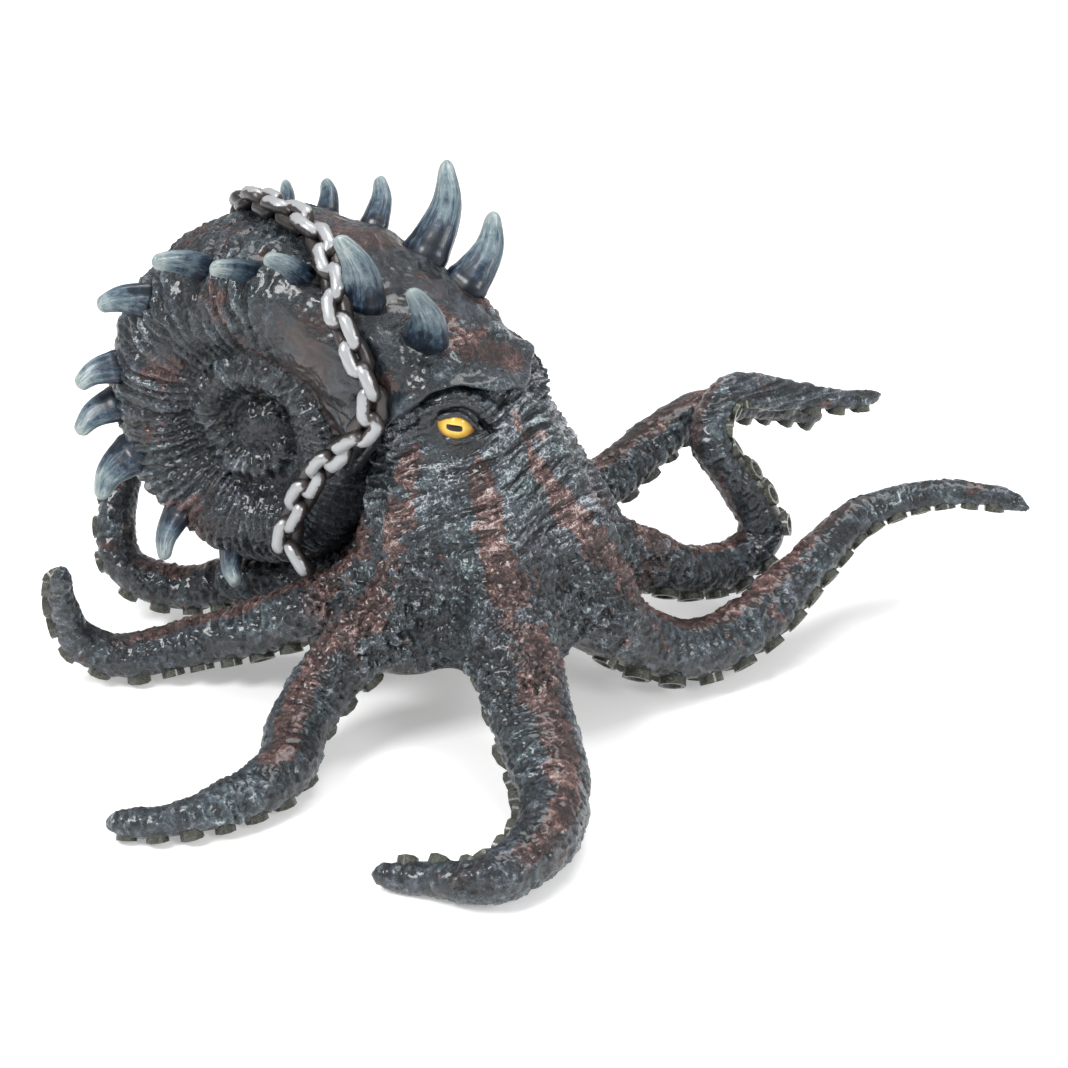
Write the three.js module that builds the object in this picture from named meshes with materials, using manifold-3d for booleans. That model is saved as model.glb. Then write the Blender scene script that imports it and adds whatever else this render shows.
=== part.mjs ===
// Octopus figurine: a painted vinyl sea creature that carries a coiled, horned shell with a chain
// hung over it. The figure comes apart as it is moulded: a head with eight arm stumps, eight arms
// that plug into the stumps on keyed pegs, the coiled shell that caps the head, a horn for each
// socket in the shell, a chain, and two eyes.
// Millimetres. +X is the way the head faces and +Z is up. The finished figure is set down on z = 0,
// with the middle of its box over the origin.

import * as THREE from 'three';
import { mergeVertices } from 'three/addons/utils/BufferGeometryUtils.js';
import Module from 'manifold-3d';

const wasm = await Module();
wasm.setup();

const FLOOR = 2; // the suckers that the figure stands on are cut flat at this height
const GAP = 0.3; // clearance round a peg, a horn root or an eyeball

// Head: rows are height, the middle's x, the half-widths along x and y, and how far the skin swells
// towards each arm
const HEAD_ROWS = [
  [16, 4, 25, 25, 5],
  [21, 4, 27, 26.5, 8],
  [28, 4, 25.5, 25, 9],
  [37, 4, 23, 22.5, 8],
  [48, 3, 21, 20.5, 6],
  [59, 0, 19.5, 18.5, 3.2],
  [69, -4, 18, 17, 0.8],
  [77, -8, 15.5, 15, 0],
  [84, -13, 11, 11.5, 0],
  [88, -15, 5, 6, 0],
];
const HEAD_SIDES = 24;
const ARM_AZIMUTHS = [-112, -50, 6, 48, 85, 128, 191, 219]; // about the head's middle, seen from above
const LOBE = 15; // half-angle of the swelling towards an arm
const MOUTH = { radius: 9, depth: 5.5 }; // the dish in the underside, where the arms meet

const EYE = { x: 3.2, y: 13.4, z: 70.8, radius: 4.2 };
// The fold of skin over each eye, from behind it to the front of the face
const BROW = [[-6, 14.4, 67.5], [-2.5, 15.2, 72], [3, 15.2, 74.4], [7.2, 12.2, 72.4], [10.4, 8.8, 68],
  [12.6, 6.6, 64]];
const BROW_RADIUS = 2.2;

// Arms: radii are a share of the length and the radius there, each spine runs from inside the head
// to the tip, and rows of belly are a share of the spine and the direction that the suckers face
const ARMS = [
  {
    name: 'arm_front_left',
    radii: [[0, 9.6], [0.27, 7.9], [0.4, 6.8], [0.6, 6.1], [0.75, 5.1], [0.88, 3.4], [1, 2.3]],
    spine: [[0, -12, 34], [-7.5, -27, 27], [-15, -38, 17], [-15.5, -49, 11], [-11.5, -61, 8.4],
      [-15, -75, 7.4], [-24, -86, 6], [-36, -90, 4.8]],
    belly: [[0, 0, 0.3, -1], [1, 0, 0, -1]],
  },
  {
    name: 'arm_front',
    radii: [[0, 10], [0.35, 8.8], [0.5, 7.9], [0.62, 6.9], [0.75, 5.4], [0.87, 3.4], [1, 2.1]],
    spine: [[12, -12, 34], [23.5, -27, 27], [31.5, -34, 17], [41.2, -45, 10.8], [47.8, -62, 9],
      [44.4, -77.5, 7.6], [32.2, -78.6, 5.8], [21, -82.1, 4.8]],
    belly: [[0, -0.3, 0.3, -1], [0.35, -0.2, 0, -1], [0.6, -0.8, 0.2, -0.5], [1, -0.1, 0.9, 0.3]],
  },
  {
    name: 'arm_right',
    radii: [[0, 10], [0.25, 8.1], [0.4, 7.2], [0.52, 6.5], [0.66, 5.1], [0.8, 3.9], [0.92, 3], [1, 2.3]],
    spine: [[10, -2, 36], [25, 2, 26], [33, 11, 15.5], [41, 21.5, 10.1], [49, 36.5, 12], [53, 55.5, 18],
      [57.5, 74, 24], [70, 86, 27.6], [84, 90, 28], [92, 90, 26.6]],
    belly: [[0, -0.3, 0, -1], [0.3, 0.3, -0.4, -1], [0.55, 0.8, -0.4, -0.7], [1, 0.3, -0.3, -1]],
  },
  {
    name: 'arm_back_right',
    radii: [[0, 9.2], [0.2, 7.2], [0.3, 6.3], [0.5, 5.7], [0.62, 5], [0.75, 4.4], [0.88, 3.2], [1, 2]],
    spine: [[8, 10, 38], [22.5, 23.5, 29], [31, 40, 19], [36, 54, 16], [39.5, 62.5, 21.5], [34.5, 60, 33],
      [28, 57, 44], [28, 67, 51], [37, 78, 48.2], [47.5, 88.5, 45], [53, 96, 44.5]],
    belly: [[0, -0.3, -0.3, -1], [0.3, 0, 0, -1], [0.5, 1, 0.2, -0.2], [0.7, 0.8, 0.5, 0],
      [1, 0.2, -0.2, -1]],
  },
  {
    name: 'arm_back',
    radii: [[0, 8.8], [0.3, 6.4], [0.45, 5.7], [0.7, 4.5], [1, 2.6]],
    spine: [[2, 14, 38], [6, 30, 33], [11, 48, 37], [17, 64, 43], [24, 79, 43], [31, 90, 39], [37, 98, 35]],
    belly: [[0, 0, 0, -1], [0.4, 0.2, 0.8, -0.6], [1, -0.2, 0.6, -0.8]],
  },
  {
    name: 'arm_back_left',
    radii: [[0, 9], [0.3, 7.2], [0.6, 5.5], [0.8, 4.3], [1, 2.6]],
    spine: [[-8, 12, 34], [-22, 25, 24], [-36, 38, 13], [-52, 48, 8.8], [-68, 54, 7.4], [-82, 62, 6.2],
      [-92, 74, 5.2]],
    belly: [[0, 0.3, 0, -1], [1, 0, 0, -1]],
  },
  {
    name: 'arm_left',
    radii: [[0, 8.4], [0.2, 7], [0.45, 5.9], [0.6, 5.3], [0.75, 4.7], [0.9, 3.7], [1, 2.8]],
    spine: [[-8, 2, 34], [-22, 1, 26], [-38, 0, 19], [-57, -3, 15], [-74, -6, 10.5], [-86, -8, 14.5],
      [-90, -5, 23], [-91, 2, 32], [-91, 10, 39], [-90, 17, 44]],
    belly: [[0, 0.3, 0, -1], [0.5, 0, 0, -1], [0.7, -1, 0, -0.5], [1, -1, 0, 0.2]],
  },
  {
    name: 'arm_far_left',
    radii: [[0, 9], [0.3, 7.4], [0.6, 5.6], [0.75, 4.7], [0.87, 3.6], [1, 2.7]],
    spine: [[-6, -6, 34], [-21, -17, 26], [-40, -21, 16], [-57, -26, 9.8], [-69, -34, 7.5], [-77, -39, 12.6],
      [-77.5, -44, 24], [-73.5, -49, 35]],
    belly: [[0, 0.2, 0, -1], [0.6, 0, 0, -1], [0.85, -1, 0, -0.4], [1, -1, 0, 0.2]],
  },
];
const SEAM_AT = 0.17; // share of each spine that belongs to the head
const SEAM_ROOM = 5; // the head's skin is cut back this far round an arm, beyond the seam
const BELLY_FLAT = 0.72; // depth of the sucker side against the arm's radius
const PEG = { width: 6, depth: 5, length: 6 };
// Turns of a cross-section's corners from the middle of the belly
const ARM_TURNS = [0, 62, 108, 156, 204, 252, 298].map(THREE.MathUtils.degToRad);
// Suckers: their spacing and height grow with the arm's radius
const SUCKER = { pitch: 4.6, pitchPerRadius: 0.4, height: 1.5, heightPerRadius: 0.2 };
const SUCKER_MOUTH = { sides: 5, share: 0.44, flare: 1.15, dish: 0.6 };

// Shell: a flat coil in the XZ plane. Rows are the angle back from the lip, the coil's outer
// radius, and the whorl's half-width along y.
const COIL = { x: -47, z: 58, lip: 20 };
const COIL_ROWS = [
  [0, 60.5, 20],
  [18, 53.5, 21],
  [36, 48.5, 21],
  [72, 44.5, 20],
  [112, 41.5, 19],
  [162, 39.8, 18],
  [205, 37, 17.5],
  [252, 34, 17],
  [342, 27, 16],
  [432, 21, 15.5],
  [522, 17.5, 15],
  [612, 14, 14],
  [696, 10.5, 13],
];
const APEX = { radius: 9, width: 13.5 }; // the knob that fills the coil's middle
const WHORL = { centre: 0.66, depth: 0.345 }; // against the outer radius
// The lip leans forward round the coil by these degrees at a turn round the whorl, and less behind it
const LIP_LEAN = [[0, 4], [20, 1.5], [40, -1.5], [60, -3.5], [80, -0.5], [100, 6], [120, 19], [150, 41],
  [180, 64]];
const LIP_FADE = 100; // degrees back from the lip where the lean ends
const SHELL_SIDES = 11;
// Growth folds: how far apart they are on the outside of the coil, the most that they turn, and
// their height at the lip, which lessens as the coil narrows
const FOLD = { spacing: 8, turn: 16, high: 1, low: -0.4 };
const WHORL_LENGTH = 8; // folds in each length of the coil

// Horns of each side: the angle back from the lip, length, foot radius, outward lean, and how far
// the foot is from the coil's middle plane. The first four on the left stand a little further back.
const HORNS_BEHIND = [
  [82.4, 12.7, 3, 54, 16.1],
  [113, 10.6, 3.6, 48.7, 15.4],
  [144.5, 9.5, 3.4, 41, 15.5],
  [160, 10.6, 3.8, 43, 15.1],
  [180, 12.3, 4.6, 36, 15.5],
  [210.5, 10.6, 3.6, 40, 15.5],
  [237.5, 8.1, 3.2, 29.7, 13.4],
];
const HORNS = {
  right: [[14, 18.5, 4.4, 33, 12.4], [30.8, 17, 4.6, 20.5, 13.9], [47.8, 11.7, 2.8, 50, 15.6],
    [63.4, 11.2, 2.7, 62, 17.2], ...HORNS_BEHIND],
  left: [[18.4, 16.5, 5, 34, 14.5], [31.4, 21.3, 5.3, 36, 14.3], [48.7, 11.8, 3.8, 44, 14.5],
    [65.3, 9, 3.3, 44, 15.2], ...HORNS_BEHIND],
};
const HORN = { sweep: 14, curl: 32, root: 3, tip: 1.5, sides: 6 };

// Chain: its route over the shell from the far side, as the angle back from the lip and the turn
// round the whorl, and then the points where its near end hangs over the coil's mouth
const CHAIN_OVER = [[106, 100], [103, 78], [99, 55], [92, 32], [83, 13], [73, -2], [62, -13], [50, -26],
  [40, -42], [30.5, -58], [22.5, -69], [13.8, -77.5], [7, -87]];
const CHAIN_HANG = [[-13, -23, 70], [-19, -22.2, 63.5], [-25.5, -21, 57], [-30, -20.2, 50.5],
  [-33, -20, 44.5], [-34.4, -20.4, 39], [-32, -20.6, 34.6]];
const LINK = { pitch: 5.5, wire: 1.15, width: 6, overlap: 0.8, wireSides: 4, endSteps: 2 };

const skin = new THREE.MeshStandardMaterial({ color: 0x3f4a52, roughness: 0.45, metalness: 0 });
const shellPaint = new THREE.MeshStandardMaterial({ color: 0x3a444b, roughness: 0.5, metalness: 0 });
const hornPaint = new THREE.MeshStandardMaterial({ color: 0x7f929a, roughness: 0.4, metalness: 0 });
const chainPaint = new THREE.MeshStandardMaterial({ color: 0xb9bbbd, roughness: 0.35, metalness: 0.6 });
const eyePaint = new THREE.MeshStandardMaterial({ color: 0xd9a52c, roughness: 0.2, metalness: 0 });

const figurine = new THREE.Group();

function vec(p) {
  return new THREE.Vector3(p[0], p[1], p[2]);
}

function degrees(angle) {
  return THREE.MathUtils.degToRad(angle);
}

// The angle between two directions, from 0 to 180 degrees.
function apart(turn, other) {
  return Math.abs(THREE.MathUtils.euclideanModulo(turn - other + 180, 360) - 180);
}

function smoothLine(points) {
  return new THREE.CatmullRomCurve3(points.map(vec), false, 'centripetal');
}

// Linear look-up in rows that start with the key they are ordered by.
function between(rows, key) {
  const next = rows.findIndex((row) => row[0] > key);
  if (next === 0) return rows[0].slice(1);
  if (next < 0) return rows.at(-1).slice(1);
  const [from, to] = [rows[next - 1], rows[next]];
  const share = (key - from[0]) / (to[0] - from[0]);
  return from.slice(1).map((value, i) => value + (to[i + 1] - value) * share);
}

// Joining and cutting

function solidFrom(geometry) {
  const bare = geometry.clone();
  bare.deleteAttribute('normal');
  bare.deleteAttribute('uv');
  const merged = mergeVertices(bare, 1e-4);
  return new wasm.Manifold(new wasm.Mesh({
    numProp: 3,
    vertProperties: merged.attributes.position.array,
    triVerts: new Uint32Array(merged.index.array),
  }));
}

function geometryFrom(solid) {
  const mesh = solid.getMesh();
  const geometry = new THREE.BufferGeometry();
  geometry.setAttribute('position', new THREE.BufferAttribute(mesh.vertProperties, 3));
  geometry.setIndex(new THREE.BufferAttribute(mesh.triVerts, 1));
  geometry.computeVertexNormals();
  return geometry;
}

function joined(solids) {
  return solids.reduce((whole, next) => whole.add(next));
}

function place(name, solid, material) {
  const mesh = new THREE.Mesh(geometryFrom(solid), material);
  mesh.name = name;
  figurine.add(mesh);
}

// Lofting

// Turns every face of a closed skin round if the skin is inside out.
function facingOut(points, faces) {
  let volume = 0;
  for (let i = 0; i < faces.length; i += 3) {
    const [a, b, c] = [points[faces[i]], points[faces[i + 1]], points[faces[i + 2]]];
    volume += a.dot(b.clone().cross(c));
  }
  if (volume < 0) faces.reverse();
  const geometry = new THREE.BufferGeometry().setFromPoints(points);
  geometry.setIndex(faces);
  return geometry;
}

// A closed skin through rings of points, each end closed by a fan to its ring's middle. A panel
// between two rings that raise(panel) answers for is left to the faces that it returns.
function loft(rings, raise) {
  const sides = rings[0].length;
  const points = rings.flat();
  const faces = [];
  for (let r = 0; r + 1 < rings.length; r++) {
    for (let s = 0; s < sides; s++) {
      const a = r * sides + s;
      const b = r * sides + (s + 1) % sides;
      const panel = [a, b, b + sides, a + sides];
      const raised = raise ? raise(points, panel, r, s) : null;
      faces.push(...(raised ?? [panel[0], panel[1], panel[2], panel[0], panel[2], panel[3]]));
    }
  }
  const closeEnd = (ring, start, turned) => {
    const middle = ring.reduce((sum, p) => sum.add(p), new THREE.Vector3()).divideScalar(sides);
    const centre = points.push(middle) - 1;
    for (let s = 0; s < sides; s++) {
      const a = start + s;
      const b = start + (s + 1) % sides;
      faces.push(...(turned ? [centre, a, b] : [centre, b, a]));
    }
  };
  closeEnd(rings[0], 0, false);
  closeEnd(rings.at(-1), (rings.length - 1) * sides, true);
  return facingOut(points, faces);
}

// A round bar along a smooth line, with a radius for each share of its length.
function bar(line, radiusAt, sides, stations) {
  const frames = line.computeFrenetFrames(stations, false);
  const rings = Array.from({ length: stations + 1 }, (_, i) => {
    const centre = line.getPointAt(i / stations);
    const radius = radiusAt(i / stations);
    return Array.from({ length: sides }, (_, s) => {
      const turn = 2 * Math.PI * s / sides;
      return centre.clone().addScaledVector(frames.normals[i], radius * Math.cos(turn))
        .addScaledVector(frames.binormals[i], radius * Math.sin(turn));
    });
  });
  return solidFrom(loft(rings));
}

// Head and eyes

function headBell(grow) {
  const ring = (height, middle, along, across, swell) => Array.from({ length: HEAD_SIDES }, (_, i) => {
    const turn = 360 * i / HEAD_SIDES;
    const nearest = Math.min(...ARM_AZIMUTHS.map((azimuth) => apart(turn, azimuth)));
    const out = grow + swell * Math.exp(-Math.pow(nearest / LOBE, 2));
    const x = middle + (along + out) * Math.cos(degrees(turn));
    return new THREE.Vector3(x, (across + out) * Math.sin(degrees(turn)), height);
  });
  const crown = HEAD_ROWS.length - 1;
  const rings = HEAD_ROWS.map(([height, ...sizes], i) => ring(height + (i === crown ? grow : 0), ...sizes));
  return solidFrom(loft(rings));
}

function mouthDish() {
  const [hem, middle] = HEAD_ROWS[0];
  const profile = [[0, -1], [MOUTH.radius, -1], [MOUTH.radius * 0.8, MOUTH.depth * 0.6], [0, MOUTH.depth]];
  const dish = new THREE.LatheGeometry(profile.map(([r, y]) => new THREE.Vector2(r, y)), 12);
  dish.rotateX(Math.PI / 2);
  dish.translate(middle, 0, hem);
  return solidFrom(dish);
}

function eyeball(side, grow) {
  const ball = new THREE.SphereGeometry(EYE.radius + grow, 10, 6);
  ball.rotateX(Math.PI / 2);
  ball.translate(EYE.x, side * EYE.y, EYE.z);
  return solidFrom(ball);
}

function brow(side, grow) {
  const line = smoothLine(BROW.map(([x, y, z]) => [x, side * y, z]));
  const radiusAt = (share) => grow + BROW_RADIUS * (0.35 + 0.65 * Math.sin(Math.PI * (0.12 + 0.76 * share)));
  return bar(line, radiusAt, 5, 6);
}

// Arms

function armShape(arm) {
  const spine = smoothLine(arm.spine);
  const radius = (share) => {
    const [taper] = between(arm.radii, share);
    const rounding = Math.max(0, (share - 0.96) / 0.04);
    return taper * Math.sqrt(1 - 0.8 * rounding * rounding);
  };
  const frame = (along) => {
    const share = Math.min(along, 1);
    const tangent = spine.getTangentAt(share);
    const belly = vec(between(arm.belly, share));
    belly.addScaledVector(tangent, -belly.dot(tangent)).normalize();
    const side = new THREE.Vector3().crossVectors(tangent, belly);
    return { point: spine.getPointAt(share), tangent, belly, side };
  };
  return { radius, frame, length: spine.getLength() };
}

function armRing(shape, share, grow = 0) {
  const { point, belly, side } = shape.frame(share);
  const r = shape.radius(share) + grow;
  return ARM_TURNS.map((turn) => {
    const down = Math.cos(turn);
    const depth = down > 0 ? BELLY_FLAT : 1;
    return point.clone().addScaledVector(belly, r * down * depth).addScaledVector(side, r * Math.sin(turn));
  });
}

// Joins a panel's corners to the ring inside it by going round both at once.
function collar(outer, inner, outerTurns, innerTurns) {
  const faces = [];
  let [i, j] = [0, 0];
  while (i < outer.length || j < inner.length) {
    const outerNext = i < outer.length ? outerTurns[i] : Infinity;
    const innerNext = j < inner.length ? innerTurns[j] : Infinity;
    const [o, n] = [outer[i % outer.length], inner[j % inner.length]];
    if (outerNext <= innerNext) {
      faces.push(o, outer[(i + 1) % outer.length], n);
      i++;
    } else {
      faces.push(o, inner[(j + 1) % inner.length], n);
      j++;
    }
  }
  return faces;
}

// A sucker raised from one panel of the belly: a flared stub with a dished mouth.
function raiseSucker(points, panel, radius) {
  const corners = panel.map((i) => points[i]);
  const centre = corners.reduce((sum, p) => sum.add(p), new THREE.Vector3()).divideScalar(4);
  const diagonals = [[0, 2], [1, 3]].map(([from, to]) => corners[to].clone().sub(corners[from]));
  const out = new THREE.Vector3().crossVectors(...diagonals).normalize();
  const first = corners[0].clone().sub(centre);
  first.addScaledVector(out, -first.dot(out)).normalize();
  const second = new THREE.Vector3().crossVectors(out, first);
  const turnOf = (p) => {
    const arm = p.clone().sub(centre);
    const turn = Math.atan2(arm.dot(second), arm.dot(first));
    return turn < -1e-6 ? turn + 2 * Math.PI : turn;
  };
  const width = corners[0].distanceTo(corners[1]);
  const length = corners[1].distanceTo(corners[2]);
  const size = Math.min(width, length) * SUCKER_MOUTH.share;
  const ring = (reach, spread) => Array.from({ length: SUCKER_MOUTH.sides }, (_, i) => {
    const turn = 2 * Math.PI * (i + 0.5) / SUCKER_MOUTH.sides;
    const point = centre.clone().addScaledVector(out, reach);
    point.addScaledVector(first, spread * Math.cos(turn)).addScaledVector(second, spread * Math.sin(turn));
    return points.push(point) - 1;
  });
  const height = SUCKER.height + SUCKER.heightPerRadius * radius;
  const foot = ring(0, size);
  const mouth = ring(height, size * SUCKER_MOUTH.flare);
  const pit = points.push(centre.clone().addScaledVector(out, height - SUCKER_MOUTH.dish)) - 1;
  const midTurns = (turns) => turns.map((turn, i) => (turn + (turns[i + 1] ?? 2 * Math.PI + turns[0])) / 2);
  const footTurns = foot.map((i) => turnOf(points[i]));
  const faces = collar(panel, foot, midTurns(corners.map(turnOf)), midTurns(footTurns));
  for (let i = 0; i < SUCKER_MOUTH.sides; i++) {
    const next = (i + 1) % SUCKER_MOUTH.sides;
    faces.push(foot[i], foot[next], mouth[next], foot[i], mouth[next], mouth[i]);
    faces.push(mouth[i], mouth[next], pit);
  }
  return faces;
}

function armStations(shape) {
  const shares = [SEAM_AT + GAP / shape.length];
  while (shares.at(-1) < 0.96) {
    const share = shares.at(-1);
    shares.push(share + (SUCKER.pitch + SUCKER.pitchPerRadius * shape.radius(share)) / shape.length);
  }
  shares.pop();
  shares.push(0.97, 1);
  return shares;
}

function rootPeg(shape, grow) {
  const { point, tangent, belly, side } = shape.frame(SEAM_AT);
  const peg = new THREE.BoxGeometry(PEG.width + 2 * grow, PEG.depth + 2 * grow, PEG.length + grow + 2);
  const basis = new THREE.Matrix4().makeBasis(side, belly, new THREE.Vector3().crossVectors(side, belly));
  basis.setPosition(point.clone().addScaledVector(tangent, -(PEG.length + grow) / 2 + 1));
  return solidFrom(peg.applyMatrix4(basis));
}

function armLength(shape, from, to, grow) {
  const stations = 3;
  const share = (i) => from + (to - from) * i / (stations - 1);
  return solidFrom(loft(Array.from({ length: stations }, (_, i) => armRing(shape, share(i), grow))));
}

function armSolid(shape) {
  const shares = armStations(shape);
  const lastSucker = shares.length - 3;
  const raise = (points, panel, r, s) => {
    const onBelly = s === 0 || s === ARM_TURNS.length - 1;
    return onBelly && r > 0 && r <= lastSucker ? raiseSucker(points, panel, shape.radius(shares[r])) : null;
  };
  const limb = solidFrom(loft(shares.map((share) => armRing(shape, share)), raise));
  return limb.add(rootPeg(shape, 0)).trimByPlane([0, 0, 1], FLOOR);
}

// Shell

function coilPoint(back, around, lift = 0) {
  const [outer, width] = between(COIL_ROWS, back);
  const [lean] = between(LIP_LEAN, apart(around, 0));
  const angle = degrees(COIL.lip + back - lean * Math.max(0, 1 - back / LIP_FADE));
  const reach = outer * WHORL.centre + (outer * WHORL.depth + lift) * Math.cos(degrees(around));
  const across = (width + lift) * Math.sin(degrees(around));
  return new THREE.Vector3(COIL.x + reach * Math.cos(angle), across, COIL.z + reach * Math.sin(angle));
}

// The coil is joined from short lengths, so that each whorl may sink into the one before it.
function coilSolid(grow) {
  const rings = [];
  for (let back = 0; back < COIL_ROWS.at(-1)[0];) {
    const [outer] = between(COIL_ROWS, back);
    const lift = grow + (rings.length % 2 ? FOLD.high : FOLD.low) * outer / COIL_ROWS[0][1];
    rings.push(Array.from({ length: SHELL_SIDES }, (_, s) => coilPoint(back, 360 * s / SHELL_SIDES, lift)));
    back += Math.min(FOLD.turn, THREE.MathUtils.radToDeg(FOLD.spacing / outer));
  }
  const lengths = [];
  for (let start = 0; start < rings.length - 1; start += WHORL_LENGTH) {
    lengths.push(solidFrom(loft(rings.slice(start, start + WHORL_LENGTH + 1))));
  }
  const knob = new THREE.SphereGeometry(1, 10, 8);
  knob.scale(APEX.radius + grow, APEX.width + grow, APEX.radius + grow);
  knob.translate(COIL.x, 0, COIL.z);
  return joined([...lengths, solidFrom(knob)]);
}

function hornSolid([back, length, foot, lean, across], side, grow) {
  const [, width] = between(COIL_ROWS, back);
  const around = side * THREE.MathUtils.radToDeg(Math.asin(across / width));
  const seat = coilPoint(back, around);
  const [reach, aside] = [Math.cos(degrees(lean)), side * Math.sin(degrees(lean))];
  const aim = (bend) => {
    const turn = degrees(COIL.lip + back + HORN.sweep + bend);
    return new THREE.Vector3(reach * Math.cos(turn), aside, reach * Math.sin(turn));
  };
  const root = seat.clone().addScaledVector(aim(0), -HORN.root - grow);
  const middle = seat.clone().addScaledVector(aim(HORN.curl / 2), length * 0.5);
  const tip = middle.clone().addScaledVector(aim(HORN.curl * 1.5), length * 0.5);
  const line = smoothLine([root, seat, middle, tip].map((p) => p.toArray()));
  const rootShare = HORN.root / (HORN.root + length);
  const radiusAt = (share) => {
    const up = Math.max(0, (share - rootShare) / (1 - rootShare));
    const taper = HORN.tip + (foot - HORN.tip) * (1 - Math.pow(up, 1.3));
    return (share === 1 ? HORN.tip * 0.6 : taper) + grow;
  };
  return bar(line, radiusAt, HORN.sides, 4);
}

// Chain

// The way out of the shell at a point on it, from the middle of the whorl there.
function outOfWhorl(point) {
  const x = point.x - COIL.x;
  const z = point.z - COIL.z;
  const angle = Math.atan2(z, x);
  const back = THREE.MathUtils.euclideanModulo(THREE.MathUtils.radToDeg(angle) - COIL.lip, 360);
  const reach = between(COIL_ROWS, back)[0] * WHORL.centre;
  return new THREE.Vector3(x - reach * Math.cos(angle), point.y, z - reach * Math.sin(angle)).normalize();
}

// An oval link in the plane of along and across: a wire bent to two half circles.
function linkSolid(at, along, across) {
  const bend = LINK.width / 2 - LINK.wire;
  const straight = (LINK.pitch + 2 * LINK.wire - LINK.overlap) / 2 - bend;
  const normal = new THREE.Vector3().crossVectors(along, across);
  const points = [];
  for (const end of [1, -1]) {
    for (let i = 0; i <= LINK.endSteps; i++) {
      const turn = Math.PI * (i / LINK.endSteps - 0.5);
      const outward = along.clone().multiplyScalar(end * Math.cos(turn));
      outward.addScaledVector(across, end * Math.sin(turn));
      const centre = at.clone().addScaledVector(along, end * straight).addScaledVector(outward, bend);
      for (let s = 0; s < LINK.wireSides; s++) {
        const around = 2 * Math.PI * (s + 0.5) / LINK.wireSides;
        const point = centre.clone().addScaledVector(outward, LINK.wire * Math.cos(around));
        points.push(point.addScaledVector(normal, LINK.wire * Math.sin(around)));
      }
    }
  }
  const faces = [];
  const rings = points.length / LINK.wireSides;
  for (let r = 0; r < rings; r++) {
    for (let s = 0; s < LINK.wireSides; s++) {
      const [a, b] = [s, (s + 1) % LINK.wireSides].map((i) => r * LINK.wireSides + i);
      const [c, d] = [a, b].map((i) => (i + LINK.wireSides) % points.length);
      faces.push(a, b, d, a, d, c);
    }
  }
  return solidFrom(facingOut(points, faces));
}

// Every other link stands on edge, and its buried half is cut off level with the shell's skin.
function chainSolid() {
  const skinLift = FOLD.high + GAP;
  const over = CHAIN_OVER.map(([back, around]) => coilPoint(back, around, skinLift + LINK.wire));
  const route = smoothLine([...over.map((p) => p.toArray()), ...CHAIN_HANG]);
  const count = Math.floor(route.getLength() / LINK.pitch);
  const links = Array.from({ length: count + 1 }, (_, i) => {
    const at = route.getPointAt(i / count);
    const along = route.getTangentAt(i / count);
    const out = outOfWhorl(at);
    out.addScaledVector(along, -out.dot(along)).normalize();
    const across = new THREE.Vector3().crossVectors(out, along);
    const onEdge = i % 2 === 0;
    const link = linkSolid(at, along, onEdge ? out : across);
    return link.trimByPlane(out.toArray(), at.dot(out) - LINK.wire);
  });
  return joined(links);
}

// Putting the figure together

const arms = ARMS.map((arm) => ({ name: arm.name, shape: armShape(arm) }));
const sides = [['left', 1], ['right', -1]];

const armRoots = arms.map(({ shape }) => armLength(shape, 0, SEAM_AT + 0.01, 0));
let head = joined([headBell(0), brow(1, 0), brow(-1, 0), ...armRoots]).subtract(mouthDish());
for (const { shape } of arms) {
  head = head.subtract(armLength(shape, SEAM_AT, SEAM_AT * 2.4, SEAM_ROOM)).subtract(rootPeg(shape, GAP));
}
for (const [, side] of sides) head = head.subtract(eyeball(side, GAP));
place('head', head, skin);
for (const { name, shape } of arms) place(name, armSolid(shape), skin);
for (const [word, side] of sides) place(`eye_${word}`, eyeball(side, 0), eyePaint);

let shell = coilSolid(0).subtract(joined([headBell(GAP), brow(1, GAP), brow(-1, GAP)]));
for (const { shape } of arms) shell = shell.subtract(armLength(shape, 0, SEAM_AT * 2.4, GAP * 2));
for (const [word, side] of sides) {
  HORNS[word].forEach((horn, i) => {
    shell = shell.subtract(hornSolid(horn, side, GAP));
    place(`horn_${word}_${i + 1}`, hornSolid(horn, side, 0), hornPaint);
  });
}
place('shell', shell, shellPaint);
place('chain', chainSolid(), chainPaint);

const middle = new THREE.Box3().setFromObject(figurine).getCenter(new THREE.Vector3());
figurine.position.set(-middle.x, -middle.y, -FLOOR);

export default figurine;
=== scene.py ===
import itertools
import math

import bpy
import numpy as np
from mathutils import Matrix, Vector, kdtree


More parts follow.
